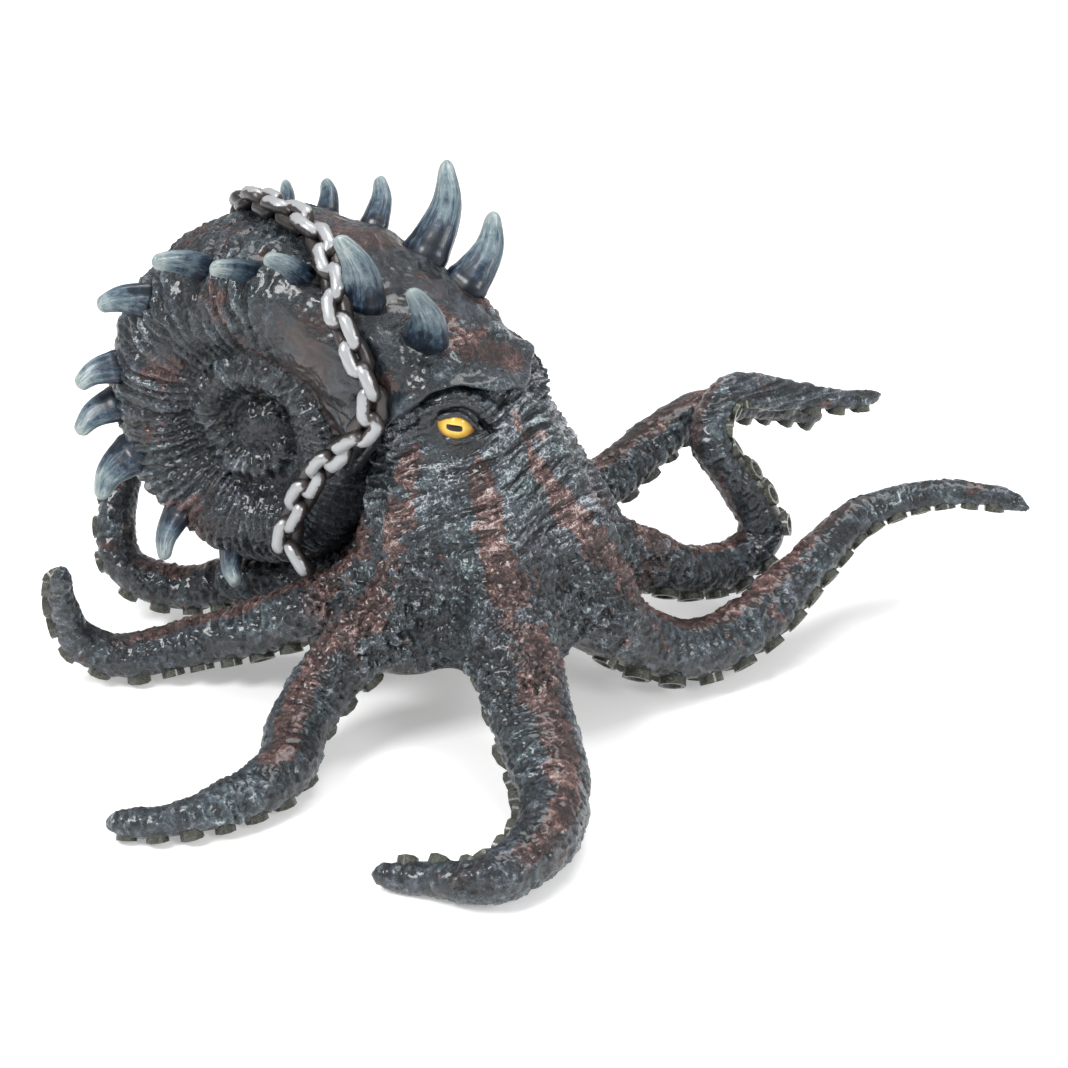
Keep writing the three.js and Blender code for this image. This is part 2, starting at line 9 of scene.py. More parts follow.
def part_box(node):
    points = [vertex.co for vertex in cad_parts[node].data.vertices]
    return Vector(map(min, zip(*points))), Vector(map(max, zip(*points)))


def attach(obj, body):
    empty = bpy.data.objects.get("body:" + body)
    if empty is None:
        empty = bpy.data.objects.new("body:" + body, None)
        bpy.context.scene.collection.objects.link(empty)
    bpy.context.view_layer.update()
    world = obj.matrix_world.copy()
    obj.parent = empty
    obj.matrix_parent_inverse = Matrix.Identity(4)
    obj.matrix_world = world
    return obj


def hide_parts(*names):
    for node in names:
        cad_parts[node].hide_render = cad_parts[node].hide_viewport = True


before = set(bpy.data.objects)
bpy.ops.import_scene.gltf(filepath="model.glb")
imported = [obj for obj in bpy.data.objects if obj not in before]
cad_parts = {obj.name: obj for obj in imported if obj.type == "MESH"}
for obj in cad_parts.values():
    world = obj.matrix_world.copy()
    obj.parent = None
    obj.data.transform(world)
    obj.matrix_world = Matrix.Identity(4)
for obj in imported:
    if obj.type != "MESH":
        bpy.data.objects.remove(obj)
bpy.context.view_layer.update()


# Body: one skin of soft vinyl over the head and the eight arms, cast in parts and glued, with the
# joints hidden under the paint. Every ridge and wart is in the mould. Sizes are in millimetres on
# the sculpt, which the left eye's CAD piece ties to the frame.

MM = 0.001
EYE_AT = Vector((3.2, 13.4, 70.8))
eye_low, eye_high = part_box("eye_left")
SCULPT_ORIGIN = np.array((eye_low + eye_high) / 2 - EYE_AT * MM)

# The head's height, its middle's x, its half-widths and how far it swells towards each arm
HEAD_ROWS = [
    (16, 4, 25, 25, 5),
    (21, 4, 27, 26.5, 8),
    (28, 4, 25.5, 25, 9),
    (37, 4, 23, 22.5, 8),
    (48, 3, 21, 20.5, 6),
    (59, 0, 19.5, 18.5, 3.2),
    (69, -4, 18, 17, 0.8),
    (77, -8, 15.5, 15, 0),
    (84, -13, 11, 11.5, 0),
    (88, -15, 5, 6, 0),
]
ARM_AZIMUTHS = (-112, -50, 6, 48, 85, 128, 191, 219)
LOBE = 15               # degrees to each side of an arm that its swelling reaches
HEAD_AXIS = 4           # x of the upright through the head's middle
# The web's hem between two arms: its middle and reach in degrees, and its rise
HEM_ARCHES = ((-18, 13, 10), (-80, 15, 5))
HEM_FOOT, HEM_DROP = 15.5, 12   # where an arch springs from, and how far the hem falls beside an arm
HEM_NEAR, HEM_FAR = 12, 40      # how far from the head's upright the hem lies
HEM_STEPS = 90                  # steps along each near arm that it keeps clear of
# The fold over an eye, from behind the eye to its point in front, and its radius along it
BROW = [(-4, 16.9, 70), (-2.4, 16.1, 73.4), (0, 15, 75.3), (3.6, 12.9, 75.9), (7.2, 10.9, 74.2),
        (10.4, 9.2, 71.2), (12.9, 8.3, 67.8)]
BROW_RADII = (0.8, 1.8, 2.3, 1.9, 0.7)

# Arms: their radius at a share of the length, the spine, and the way the suckers face at a share
ARMS = {
    "arm_front_left": ([(0, 9.6), (0.27, 7.9), (0.4, 6.8), (0.6, 6.1), (0.75, 5.1), (0.88, 3.6), (1, 2.9)],
                       [(0, -12, 34), (-7.5, -27, 27), (-15, -38, 17), (-15.5, -49, 11),
                        (-11.5, -61, 8.4), (-15, -75, 7.4), (-24, -86, 6), (-36, -90, 4.8)],
                       [(0, 0, 0.3, -1), (1, 0, 0, -1)]),
    "arm_front": ([(0, 10), (0.35, 8.8), (0.5, 7.9), (0.62, 6.9), (0.75, 5.4), (0.87, 3.7), (1, 2.9)],
                  [(12, -12, 34), (23.5, -27, 27), (31.5, -34, 17), (41.2, -45, 10.8), (47.8, -62, 9),
                   (44.4, -77.5, 7.6), (32.2, -78.6, 5.8), (21, -82.1, 4.8)],
                  [(0, -0.3, 0.3, -1), (0.35, -0.4, 0, -0.9), (0.55, -0.9, 0.15, -0.4),
                   (0.8, -0.6, 0.7, -0.1), (1, -0.1, 0.9, 0.3)]),
    "arm_right": ([(0, 10), (0.25, 8.1), (0.4, 7.2), (0.52, 6.5), (0.66, 5.1), (0.8, 3.9), (0.92, 3),
                   (1, 2.3)],
                  [(10, -2, 36), (25, 2, 26), (33, 11, 15.5), (41, 21.5, 10.1), (49, 36.5, 12),
                   (53, 55.5, 18), (57.5, 74, 24), (70, 86, 27.6), (84, 90, 28), (92, 90, 26.6)],
                  [(0, -0.3, 0, -1), (0.3, 0.2, 0.1, -1), (0.55, 0.7, 0.2, -0.8), (1, 0.1, 0.1, -1)]),
    "arm_back_right": ([(0, 9.2), (0.2, 7.2), (0.3, 6.3), (0.5, 5.7), (0.62, 5), (0.75, 4.4), (0.88, 3.2),
                        (1, 2)],
                       [(8, 10, 38), (22.5, 23.5, 29), (31, 40, 19), (36, 54, 16),
                        (39.5, 62.5, 21.5), (34.5, 60, 33), (28, 57, 44), (28, 67, 51),
                        (37, 78, 48.2), (47.5, 88.5, 45), (53, 96, 44.5)],
                       [(0, -0.3, -0.3, -1), (0.3, 0, 0, -1), (0.5, 0.9, 0.7, -0.1), (0.7, 0.6, 0.9, 0),
                        (1, 0.1, 0.2, -1)]),
    "arm_back": ([(0, 8.8), (0.3, 6.4), (0.45, 5.7), (0.7, 4.5), (1, 2.6)],
                 [(2, 14, 38), (6, 30, 33), (11, 48, 37), (17, 64, 43), (24, 79, 43),
                  (31, 90, 39), (37, 98, 35)],
                 [(0, 0, 0, -1), (0.4, 0.2, 0.8, -0.6), (1, -0.2, 0.6, -0.8)]),
    "arm_back_left": ([(0, 9), (0.3, 7.2), (0.6, 5.5), (0.8, 4.3), (1, 2.6)],
                      [(-8, 12, 34), (-22, 25, 24), (-36, 38, 13), (-52, 48, 8.8),
                       (-68, 54, 7.4), (-82, 62, 6.2), (-92, 74, 5.2)],
                      [(0, 0.3, 0, -1), (1, 0, 0, -1)]),
    "arm_left": ([(0, 8.4), (0.2, 7), (0.45, 5.9), (0.6, 5.3), (0.75, 4.7), (0.9, 3.7), (1, 2.8)],
                 [(-8, 2, 34), (-22, 1, 26), (-38, 0, 19), (-57, -3, 15), (-74, -6, 10.5),
                  (-86, -8, 14.5), (-90, -5, 23), (-91, 2, 32), (-91, 10, 39), (-90, 17, 44)],
                 [(0, 0.3, 0, -1), (0.5, 0, 0, -1), (0.7, -1, 0, -0.5), (1, -1, 0, 0.2)]),
    "arm_far_left": ([(0, 9), (0.3, 7.4), (0.6, 5.6), (0.75, 4.7), (0.87, 3.6), (1, 2.7)],
                     [(-6, -6, 34), (-21, -17, 26), (-40, -21, 16), (-57, -26, 9.8),
                      (-69, -34, 7.5), (-77, -39, 12.6), (-77.5, -44, 24), (-73.5, -49, 35)],
                     [(0, 0.2, 0, -1), (0.6, 0, 0, -1), (0.85, -1, 0, -0.4), (1, -1, 0, 0.2)]),
}
SEAM_AT = 0.17          # share of each spine where its arm is glued to the head
BELLY_FLAT = 0.72       # an arm's depth on its belly side, as a share of its radius
TIP_FROM, TIP_LENGTH = 0.955, 0.045     # shares of a spine: where its tip rounds off, and for how long
FLOOR = 2               # height of the floor on the sculpt
SKIN_VOXEL = 0.94


def placed(points):
    """Millimetres on the sculpt, as metres in the frame."""
    return np.asarray(points, float) * MM + SCULPT_ORIGIN


def vectors_of(obj, key):
    """One vector from each of an object's vertices."""
    flat = np.zeros(len(obj.data.vertices) * 3)
    obj.data.vertices.foreach_get(key, flat)
    return flat.reshape(-1, 3)


def on_sculpt(obj):
    """An object's vertices, in millimetres on the sculpt."""
    return (vectors_of(obj, "co") - SCULPT_ORIGIN) / MM


def move_to(obj, points):
    """Puts an object's vertices at points on the sculpt."""
    obj.data.vertices.foreach_set("co", placed(points).ravel())
    obj.data.update()


def unit(vectors):
    return vectors / np.linalg.norm(vectors, axis=-1, keepdims=True)


def eased(value, start, end):
    """0 before start, 1 after end, and a smooth step between them."""
    share = np.clip((np.asarray(value, float) - start) / (end - start), 0, 1)
    return share * share * (3 - 2 * share)


def hump(value, middle, reach):
    """1 at the middle, fading out to both sides of it."""
    return np.exp(-((value - middle) / reach) ** 2)


def smooth_line(points, count):
    """Evenly spaced points on a smooth curve through points, and its length."""
    p = np.asarray(points, float)
    p = np.vstack([2 * p[0] - p[1], p, 2 * p[-1] - p[-2]])
    dense = []
    for a, b, c, d in zip(p, p[1:], p[2:], p[3:]):
        knots = np.cumsum([0] + [math.sqrt(np.linalg.norm(step)) for step in (b - a, c - b, d - c)])
        t = np.linspace(knots[1], knots[2], 40, endpoint=False)[:, None]

        def mix(x, y, i, j):
            return (x * (knots[j] - t) + y * (t - knots[i])) / (knots[j] - knots[i])

        ab, bc, cd = mix(a, b, 0, 1), mix(b, c, 1, 2), mix(c, d, 2, 3)
        dense.append(mix(mix(ab, bc, 0, 2), mix(bc, cd, 1, 3), 1, 2))
    dense = np.vstack([*dense, p[-2:-1]])
    walked = np.concatenate([[0], np.cumsum(np.linalg.norm(np.diff(dense, axis=0), axis=1))])
    even = np.linspace(0, walked[-1], count)
    return np.stack([np.interp(even, walked, dense[:, i]) for i in range(3)], axis=1), walked[-1]


def arm_frames(name, count=160):
    """Along an arm: its middle, tangent, belly and side directions, and radius."""
    radii, spine, belly_rows = ARMS[name]
    middle, length = smooth_line(spine, count)
    share = np.linspace(0, 1, count)
    tangent = unit(np.gradient(middle, axis=0))
    rows = np.array(belly_rows, float)
    belly = np.stack([np.interp(share, rows[:, 0], rows[:, i]) for i in (1, 2, 3)], axis=1)
    belly = unit(belly - (belly * tangent).sum(1, keepdims=True) * tangent)
    radius = np.interp(share, *np.array(radii).T)
    return {"middle": middle, "tangent": tangent, "belly": belly, "side": np.cross(tangent, belly),
            "radius": radius, "share": share, "length": length}


def only(*objects):
    """Selects these objects alone, the first of them active."""
    bpy.ops.object.select_all(action="DESELECT")
    for obj in objects:
        obj.select_set(True)
    bpy.context.view_layer.objects.active = objects[0]


def shaped(obj, kind, **settings):
    """Adds a modifier to an object and applies it."""
    only(obj)
    modifier = obj.modifiers.new(kind.lower(), kind)
    for key, value in settings.items():
        setattr(modifier, key, value)
    bpy.ops.object.modifier_apply(modifier=modifier.name)


def outwards(obj):
    """Turns all the faces of a closed mesh outwards."""
    only(obj)
    bpy.ops.object.mode_set(mode="EDIT")
    bpy.ops.mesh.select_all(action="SELECT")
    bpy.ops.mesh.normals_make_consistent(inside=False)
    bpy.ops.object.mode_set(mode="OBJECT")


def new_mesh(name, points, faces):
    """An object from points in metres, linked to the scene."""
    mesh = bpy.data.meshes.new(name)
    mesh.from_pydata([tuple(p) for p in points], [], faces)
    obj = bpy.data.objects.new(name, mesh)
    bpy.context.scene.collection.objects.link(obj)
    return obj


def loft(name, rings):
    """A closed skin through rings of points on the sculpt, with a fan over each end."""
    rings = np.asarray(rings, float)
    count, sides = rings.shape[:2]
    points = np.vstack([rings.reshape(-1, 3), rings[0].mean(0), rings[-1].mean(0)])
    a = np.arange(sides)
    b = (a + 1) % sides
    faces = []
    for r in range(count - 1):
        faces += (np.stack([a, b, b + sides, a + sides], axis=1) + r * sides).tolist()
    last = (count - 1) * sides
    faces += [[count * sides, j, i] for i, j in zip(a.tolist(), b.tolist())]
    faces += [[count * sides + 1, last + i, last + j] for i, j in zip(a.tolist(), b.tolist())]
    obj = new_mesh(name, placed(points), faces)
    outwards(obj)
    return obj


def arm_rings(name):
    """Rings round an arm's spine, flatter on the belly and drawn in to a round tip."""
    f = arm_frames(name)
    turns = np.linspace(0, 2 * math.pi, 40, endpoint=False)
    down = np.cos(turns)
    depth = np.where(down > 0, down * BELLY_FLAT, down)
    rounding = np.clip((f["share"] - TIP_FROM) / TIP_LENGTH, 0, 1)
    radius = (f["radius"] * np.sqrt(1 - 0.97 * rounding ** 2))[:, None, None]
    across = np.sign(np.sin(turns)) * np.abs(np.sin(turns)) ** 0.9
    return (f["middle"][:, None] + radius * depth[None, :, None] * f["belly"][:, None]
            + radius * across[None, :, None] * f["side"][:, None])


def apart(turn, other):
    """The angle between two directions, from 0 to 180 degrees."""
    return np.abs((np.asarray(turn) - other + 180) % 360 - 180)


def head_rings():
    """Level rings up the head, swelling towards each arm."""
    rows = np.array(HEAD_ROWS, float)
    heights = np.linspace(rows[0, 0], rows[-1, 0], 60)
    turns = np.linspace(0, 360, 96, endpoint=False)
    nearest = np.min([apart(turns, azimuth) for azimuth in ARM_AZIMUTHS], axis=0)
    rings = []
    for height in heights:
        middle, along, across, swell = [np.interp(height, rows[:, 0], rows[:, i]) for i in (1, 2, 3, 4)]
        out = swell * hump(nearest, 0, LOBE)
        x = middle + (along + out) * np.cos(np.radians(turns))
        y = (across + out) * np.sin(np.radians(turns))
        rings.append(np.stack([x, y, np.full_like(x, height)], axis=1))
    return rings


def bar_rings(points, radii):
    """Round rings along a smooth line, for a rod that swells and tapers."""
    middle, _ = smooth_line(points, 30)
    tangent = unit(np.gradient(middle, axis=0))
    first = unit(np.cross(tangent, (0.3, 0.2, 1)))
    second = np.cross(tangent, first)
    radius = np.interp(np.linspace(0, 1, 30), np.linspace(0, 1, len(radii)), radii)[:, None, None]
    turns = np.linspace(0, 2 * math.pi, 16, endpoint=False)
    return (middle[:, None] + radius * np.cos(turns)[None, :, None] * first[:, None]
            + radius * np.sin(turns)[None, :, None] * second[:, None])


bpy.ops.object.select_all(action="DESELECT")
clay = [loft("body", head_rings())]
clay += [loft(name, arm_rings(name)) for name in ARMS]
for side in (1, -1):
    clay.append(loft("brow", bar_rings([(x, side * y, z) for x, y, z in BROW], BROW_RADII)))
only(*clay)
bpy.ops.object.join()
body = bpy.context.view_layer.objects.active
shaped(body, "REMESH", mode="VOXEL", voxel_size=SKIN_VOXEL * MM)

# The web's hem is arched up between the near arms, clear of their own rounds
points = on_sculpt(body)
azimuth = np.degrees(np.arctan2(points[:, 1], points[:, 0] - HEAD_AXIS))
hem = np.zeros(len(points))
for middle, reach, rise in HEM_ARCHES:
    hem = np.maximum(hem, HEM_FOOT + rise * hump(apart(azimuth, middle), 0, reach))
for name in ("arm_front_left", "arm_front", "arm_right"):
    line = arm_frames(name)
    gaps = np.min([np.linalg.norm(points - middle, axis=1) - radius
                   for middle, radius
                   in zip(line["middle"][:HEM_STEPS], line["radius"][:HEM_STEPS])], axis=0)
    hem -= HEM_DROP * (1 - eased(gaps, 0, 2.5))
from_axis = np.hypot(points[:, 0] - HEAD_AXIS, points[:, 1])
at_hem = (from_axis > HEM_NEAR) & (from_axis < HEM_FAR)
points[:, 2] = np.where(at_hem, np.maximum(points[:, 2], hem), points[:, 2])
move_to(body, points)

# The skin stretches in a web between the arms, so the creases there are smoothed most
web = eased(from_axis, 10, 20) * (1 - eased(from_axis, 40, 52)) * (1 - eased(points[:, 2], 56, 66))
group = body.vertex_groups.new(name="web")
for level in range(1, 11):
    chosen = np.flatnonzero(np.round(web * 10) == level).tolist()
    group.add(chosen, level / 10, "REPLACE")
shaped(body, "SMOOTH", factor=0.5, iterations=45, vertex_group="web")
shaped(body, "SMOOTH", factor=0.5, iterations=8)
body.vertex_groups.clear()
shaped(body, "SUBSURF", levels=1, render_levels=1)


# Eyelids: part of the head's skin, drawn into an almond round each eye. A heavy fold sweeps over it
# from the back to a point in front, and bags hang below.

EYE_RADIUS = 4.2
GAZE = unit(np.array((0.5, 0.82, 0.2)))
ALMOND = (3.95, 2.3)        # half of the opening's length and of its height
ALMOND_AT = (-0.4, -0.6)    # its middle from the gaze, towards the front and up
LID_REACH = 12              # the skin is worked this far from an eye's middle
LID_CLEAR, SOCKET_DEPTH = 0.5, 0.9      # the lids' height over the ball, and the skin's depth behind it
BROW_CUT = 1.4              # depth of the groove under the brow


def eye_axes(side):
    """An eye's middle, its gaze, its corner-to-corner direction towards the front, and its up."""
    gaze = GAZE * (1, side, 1)
    along = unit(np.cross(gaze, (0, 0, 1)) * side)
    up = np.cross(along, gaze) * side
    return np.array((EYE_AT.x, side * EYE_AT.y, EYE_AT.z)), gaze, along, up


def noted(obj, **layers):
    """Keeps numbers or vectors for each vertex, for later work and for the paint to read."""
    for name, values in layers.items():
        values = np.asarray(values, np.float32)
        kind, key = ("FLOAT", "value") if values.ndim == 1 else ("FLOAT_VECTOR", "vector")
        obj.data.attributes.new(name, kind, "POINT").data.foreach_set(key, values.ravel())


def picked(obj, kind, chosen):
    """Opens an object for editing with only the chosen ones of its vertices or polygons selected."""
    only(obj)
    bpy.context.tool_settings.mesh_select_mode = (kind == "vertices", False, kind == "polygons")
    for part in ("vertices", "edges", "polygons"):
        items = getattr(obj.data, part)
        items.foreach_set("select", chosen if part == kind else [False] * len(items))
    bpy.ops.object.mode_set(mode="EDIT")


def round_eye(points, side):
    """For points: distance from the eye's middle, and where they lie on the ball along, up and out."""
    middle, gaze, along, up = eye_axes(side)
    away = points - middle
    distance = np.linalg.norm(away, axis=1)
    towards = away / distance[:, None] * EYE_RADIUS
    return distance, towards @ along, towards @ up, towards @ gaze


def above_almond(along, up):
    """Millimetres outside the opening's rim, and above its middle line."""
    along, up = along - ALMOND_AT[0], up - ALMOND_AT[1]
    bend = -0.9 * np.clip(along / ALMOND[0], 0, 1.4) ** 2
    part = np.clip(1 - (along / ALMOND[0]) ** 2, -1, 1)
    half = ALMOND[1] * np.sign(part) * np.abs(part) ** np.where(along > 0, 0.95, 0.5)
    return np.abs(up - bend) - half, up - bend


points = on_sculpt(body)
near_eye = np.zeros(len(points), bool)
for side in (1, -1):
    distance, along, up, out = round_eye(points, side)
    near_eye |= (distance < LID_REACH) & (out > 0.5)
picked(body, "vertices", near_eye)
bpy.ops.mesh.subdivide(number_cuts=1, quadcorner="INNERVERT")
bpy.ops.object.mode_set(mode="OBJECT")

points = on_sculpt(body)
outward = vectors_of(body, "normal")
brow_line, _ = smooth_line(BROW, 80)
hollow = np.zeros(len(points))
for side in (1, -1):
    middle = eye_axes(side)[0]
    distance, along, up, out = round_eye(points, side)
    outside, height = above_almond(along, up)
    edge, crease, bag = hump(outside, 0.4, 0.35), hump(outside, 1.3, 0.4), hump(outside, 2.3, 0.6)
    upper_lid = 0.95 * edge - 0.1 * crease + 0.3 * bag
    lower_lid = 0.5 * edge - 0.1 * crease + 0.6 * bag
    lid = EYE_RADIUS + LID_CLEAR + np.where(height > 0, upper_lid, lower_lid)
    socket = EYE_RADIUS - SOCKET_DEPTH
    wanted = np.where(outside > 0.12, np.maximum(distance, lid), lid)
    wanted = wanted + (socket - wanted) * (1 - eased(outside, -0.25, 0.12))
    share = eased(out, 0.6, 2.2) * (1 - eased(distance, 6.6, 8.6))
    moved = (points - middle) / distance[:, None] * ((wanted - distance) * share)[:, None]

    # The brow's underside is cut in sharply, down to the fold's front end
    close = np.flatnonzero(distance < LID_REACH + 3)
    ways = points[close, None] - (brow_line * (1, side, 1))[None]
    gaps = np.linalg.norm(ways, axis=2)
    step = gaps.argmin(axis=1)
    rows = np.arange(len(close))
    gap, below = gaps[rows, step], ways[rows, step, 2] < 0.3
    taper = np.interp(step, (0, 12, 60, 79), (0, 1, 1, 0.2))
    cut = hump(gap, 2.75, 0.5) * below * eased(outside[close], 0.6, 1.4)
    swell = hump(gap, 1.8, 0.6) * below + 0.4 * hump(gap, 0, 1.6)
    pushed = (swell - BROW_CUT * cut) * taper
    points += moved
    # The lid's crease and the groove under the brow are kept to be painted darker: painted shade under the
    # fold
    hollow = np.maximum(hollow, share * crease * (out > 1))
    hollow[close] = np.maximum(hollow[close], cut * taper)
    points[close] += outward[close] * pushed[:, None]
move_to(body, points)
noted(body, hollow=hollow)


# Skin: warts, wrinkles and folds from the mould, and a smooth underside where the suckers stand.
# Each vertex keeps how high it stands and which paint it gets, and the body is then cut into its
# castings: the head and eight arms.

SKIN_DEPTH = 1.1        # millimetres from the bottom of a crease to a wart's crown
STRIPE_WIDTH = 25       # degrees to each side of an arm's crown
BELL_AXIS, STRIPE_FROM = 3, 35      # x of the bell's upright, and the height the drift counts from
# By arm, a bell stripe's drift in degrees for each millimetre up, and the height where it ends
STRIPE_DRIFT = (0, -0.6, -1, 0.8, 0.4, 0, 0, 0)
STRIPE_TOP = (64, 64, 70, 66, 62, 44, 40, 44)
KHAKI_EDGE = 62         # degrees from an arm's belly line to where the dark skin ends
CROWN_UP = 0.8          # the crown lies away from the belly, drawn upwards by this share
CUT_FROM = 0.09         # share of a spine that always stays with the head


def scattered(cells, seed):
    """Three even random numbers from 0 to 1 for each whole-number cell, the same in every run."""
    x, y, z = np.moveaxis(cells.astype(np.int64).astype(np.uint32), -1, 0)
    mixed = x * np.uint32(73856093) ^ y * np.uint32(19349663) ^ z * np.uint32(83492791)
    mixed ^= np.uint32(seed * 97561 + 12345)
    numbers = []
    for _ in range(3):
        mixed = (mixed ^ (mixed >> np.uint32(15))) * np.uint32(739982445)
        mixed = (mixed ^ (mixed >> np.uint32(12))) * np.uint32(695872825)
        mixed = mixed ^ (mixed >> np.uint32(15))
        numbers.append(mixed / 2 ** 32)
    return np.stack(numbers, axis=-1)


def swells(points, size, seed):
    """Smooth random hills as wide as size, from about -1 to 1."""
    grid = points / np.asarray(size, float)
    cell = np.floor(grid)
    inside = grid - cell
    fade = inside ** 3 * (inside * (inside * 6 - 15) + 10)
    total = np.zeros(len(grid))
    for corner in itertools.product((0, 1), repeat=3):
        slope = scattered(cell + corner, seed) * 2 - 1
        weight = np.where(corner, fade, 1 - fade).prod(axis=1)
        total += weight * ((inside - corner) * slope).sum(axis=1)
    return total * 1.7      # which brings the highest hills near 1


def creases(points, size, seed, sharp):
    """Thin wandering lines of 1 on a ground of 0."""
    return np.clip(1 - sharp * np.abs(swells(points, size, seed)), 0, 1)


def beads(points, size, seed):
    """Separate round warts of mixed sizes: 1 on a crown and 0 between them."""
    grid = points / np.asarray(size, float)
    cell = np.floor(grid)
    nearest = np.full(len(grid), 9.0)
    own = np.zeros(len(grid))
    for step in itertools.product((-1, 0, 1), repeat=3):
        spot = scattered(cell + step, seed)
        gap = ((cell + step + 0.1 + 0.8 * spot - grid) ** 2).sum(axis=1)
        closer = gap < nearest
        own = np.where(closer, (spot[:, 0] * 7 + spot[:, 1] * 3) % 1, own)
        nearest = np.where(closer, gap, nearest)
    return np.sqrt(np.clip(1 - nearest / (0.2 + 0.36 * own) ** 2, 0, 1))


def layered(*layers):
    """Layers of relief from 0 to 1, laid over each other."""
    return 1 - math.prod(1 - layer for layer in layers)


def merged(first, second, share):
    """The first where share is 0, turning into the second where it is 1."""
    return first * (1 - share) + second * share


arm_names = list(ARMS)
lines = [arm_frames(name) for name in arm_names]
LINE_STEPS = len(lines[0]["share"])
for line in lines:
    upward = (0, 0, 1) - line["tangent"][:, 2:] * line["tangent"]
    crown = CROWN_UP * upward - line["belly"]
    line["crown"] = np.degrees(np.arctan2((crown * line["side"]).sum(1), (crown * line["belly"]).sum(1)))
arm_tree = kdtree.KDTree(LINE_STEPS * len(lines))
for i, line in enumerate(lines):
    for j, middle in enumerate(line["middle"]):
        arm_tree.insert(middle, i * LINE_STEPS + j)
arm_tree.balance()


def along_arms(points):
    """For points: the nearest arm and its share there, the turn from its belly, and its radii away."""
    nearest = np.array([arm_tree.find(p)[1] for p in points])
    arm, step = nearest // LINE_STEPS, nearest % LINE_STEPS
    middle, belly, side, radius = [np.array([line[key] for line in lines])[arm, step]
                                   for key in ("middle", "belly", "side", "radius")]
    away = points - middle
    down, across = (away * belly).sum(axis=1), (away * side).sum(axis=1)
    turn = np.degrees(np.arctan2(across, down))
    return arm, step / (LINE_STEPS - 1), turn, np.hypot(down, across) / radius, radius


# The castings part at a plane across each arm
seam_step = round(SEAM_AT * (LINE_STEPS - 1))
for line in lines:
    middle, radius = line["middle"][seam_step], line["radius"][seam_step]
    picked(body, "vertices", np.linalg.norm(on_sculpt(body) - middle, axis=1) < radius * 2)
    bpy.ops.mesh.bisect(plane_co=placed(middle), plane_no=line["tangent"][seam_step])
    bpy.ops.object.mode_set(mode="OBJECT")

points = on_sculpt(body)
outward = vectors_of(body, "normal")
arm, share, turn, radii, radius = along_arms(points)
run = share * np.array([line["length"] for line in lines])[arm]
rolled = np.stack([run, np.radians(turn) * radius * radii, arm * 50.0], axis=1)

from_eye = np.minimum(*[round_eye(points, side)[0] for side in (1, -1)])
calm = eased(from_eye, 5.6, 9)                      # the lids keep their own shape
face = eased(points[:, 2], 40, 52)                  # the face and crown, above the webs
on_arm = eased(run, 24, 40) * eased(radii, 2.2, 1.4)
edge = KHAKI_EDGE + 5 * swells(rolled, (5, 5, 5), 3)
khaki = eased(np.abs(turn), edge + 3, edge - 3) * eased(run, 16, 26) * (radii < 1.6)
under = eased(-outward[:, 2], 0.45, 0.7) * eased(points[:, 2], 30, 22) * (1 - on_arm)
khaki = np.maximum(khaki, under)

slant = np.stack([points[:, 0], points[:, 1],
                  points[:, 2] - 0.4 * points[:, 0] + 0.2 * np.abs(points[:, 1])], axis=1)
wrinkles = layered(creases(slant, (11, 11, 2.0), 5, 2.4), 0.6 * creases(slant, (6, 6, 1.2), 6, 2.4))
warts = layered(beads(points, 2.6, 7), 0.75 * beads(points, 1.6, 8))
curls = layered(0.8 * creases(points, 3.4, 10, 2.8), 0.55 * creases(points, 1.8, 22, 2.6))
folds = layered(creases(rolled, (2.0, 6.5, 9), 9, 2.6), 0.6 * creases(rolled, (1.2, 4, 9), 23, 2.6))

fold_share = on_arm * eased(np.abs(turn), 60, 100) * (0.45 + 0.4 * swells(points, 10, 24))
face_share = 0.85 * face
rough = merged(layered(0.75 * warts, 0.7 * curls), folds, fold_share)
rough = merged(rough, wrinkles, face_share)
patchy = 0.9 + 0.35 * swells(points, 9, 11)
fine = swells(points, 1.0, 12)
webbed = (1 - face) * (1 - on_arm)
depth = SKIN_DEPTH + 0.2 * face + 0.5 * webbed
detail = (depth * (rough - 0.48) * patchy + 0.12 * fine) * (0.2 + 0.8 * calm)
detail *= np.clip(radius / 6, 0.55, 1)
lumps = 0.5 * swells(points, 8, 13) * calm
raised = merged(lumps + detail, 0.07 * swells(points, 2.5, 14) - 0.15, khaki)
relief = np.clip(rough * patchy + 0.2 * fine + 0.12 * swells(points, 5, 15), 0, 1)
relief = merged(0.34 + 0.12 * wrinkles + 0.1 * fine, relief, calm)
relief = merged(relief, 0.45 + 0.3 * swells(points, 3, 16), khaki)
# Painted shade: the paint darkens in the lids' creases and in the groove under the brow's fold
hollow = np.zeros(len(points), np.float32)
body.data.attributes["hollow"].data.foreach_get("value", hollow)
relief *= 1 - np.clip(1.2 * hollow, 0, 1)

# Red-brown paint runs down the arms' backs and the ribs of the bell
ribs = np.degrees(np.arctan2(points[:, 1], points[:, 0] - BELL_AXIS))
to_rib = np.full(len(points), 360.0)
for azimuth, drift, top in zip(ARM_AZIMUTHS, STRIPE_DRIFT, STRIPE_TOP):
    rib = azimuth + drift * (points[:, 2] - STRIPE_FROM)
    to_rib = np.minimum(to_rib, apart(ribs, rib) + 3 * np.clip(points[:, 2] - top, 0, 9))
ragged = swells(points, (6, 6, 6), 17) * 12 + swells(points, 2.2, 18) * 10
crown = np.array([line["crown"] for line in lines])[arm, np.round(share * (LINE_STEPS - 1)).astype(int)]
stripe = eased(apart(turn, crown) + ragged, STRIPE_WIDTH + 9, STRIPE_WIDTH - 7)
stripe *= eased(run, 14, 30) * eased(share + 0.2 * swells(points, 9, 19), 0.86, 0.5)
bell_stripe = eased(to_rib + ragged * 0.4, 9, 5) * eased(run, 34, 18)
bell_stripe *= eased(swells(points, (9, 9, 5), 19), -0.62, -0.35)
stripe = np.maximum(stripe, bell_stripe) * (1 - khaki)
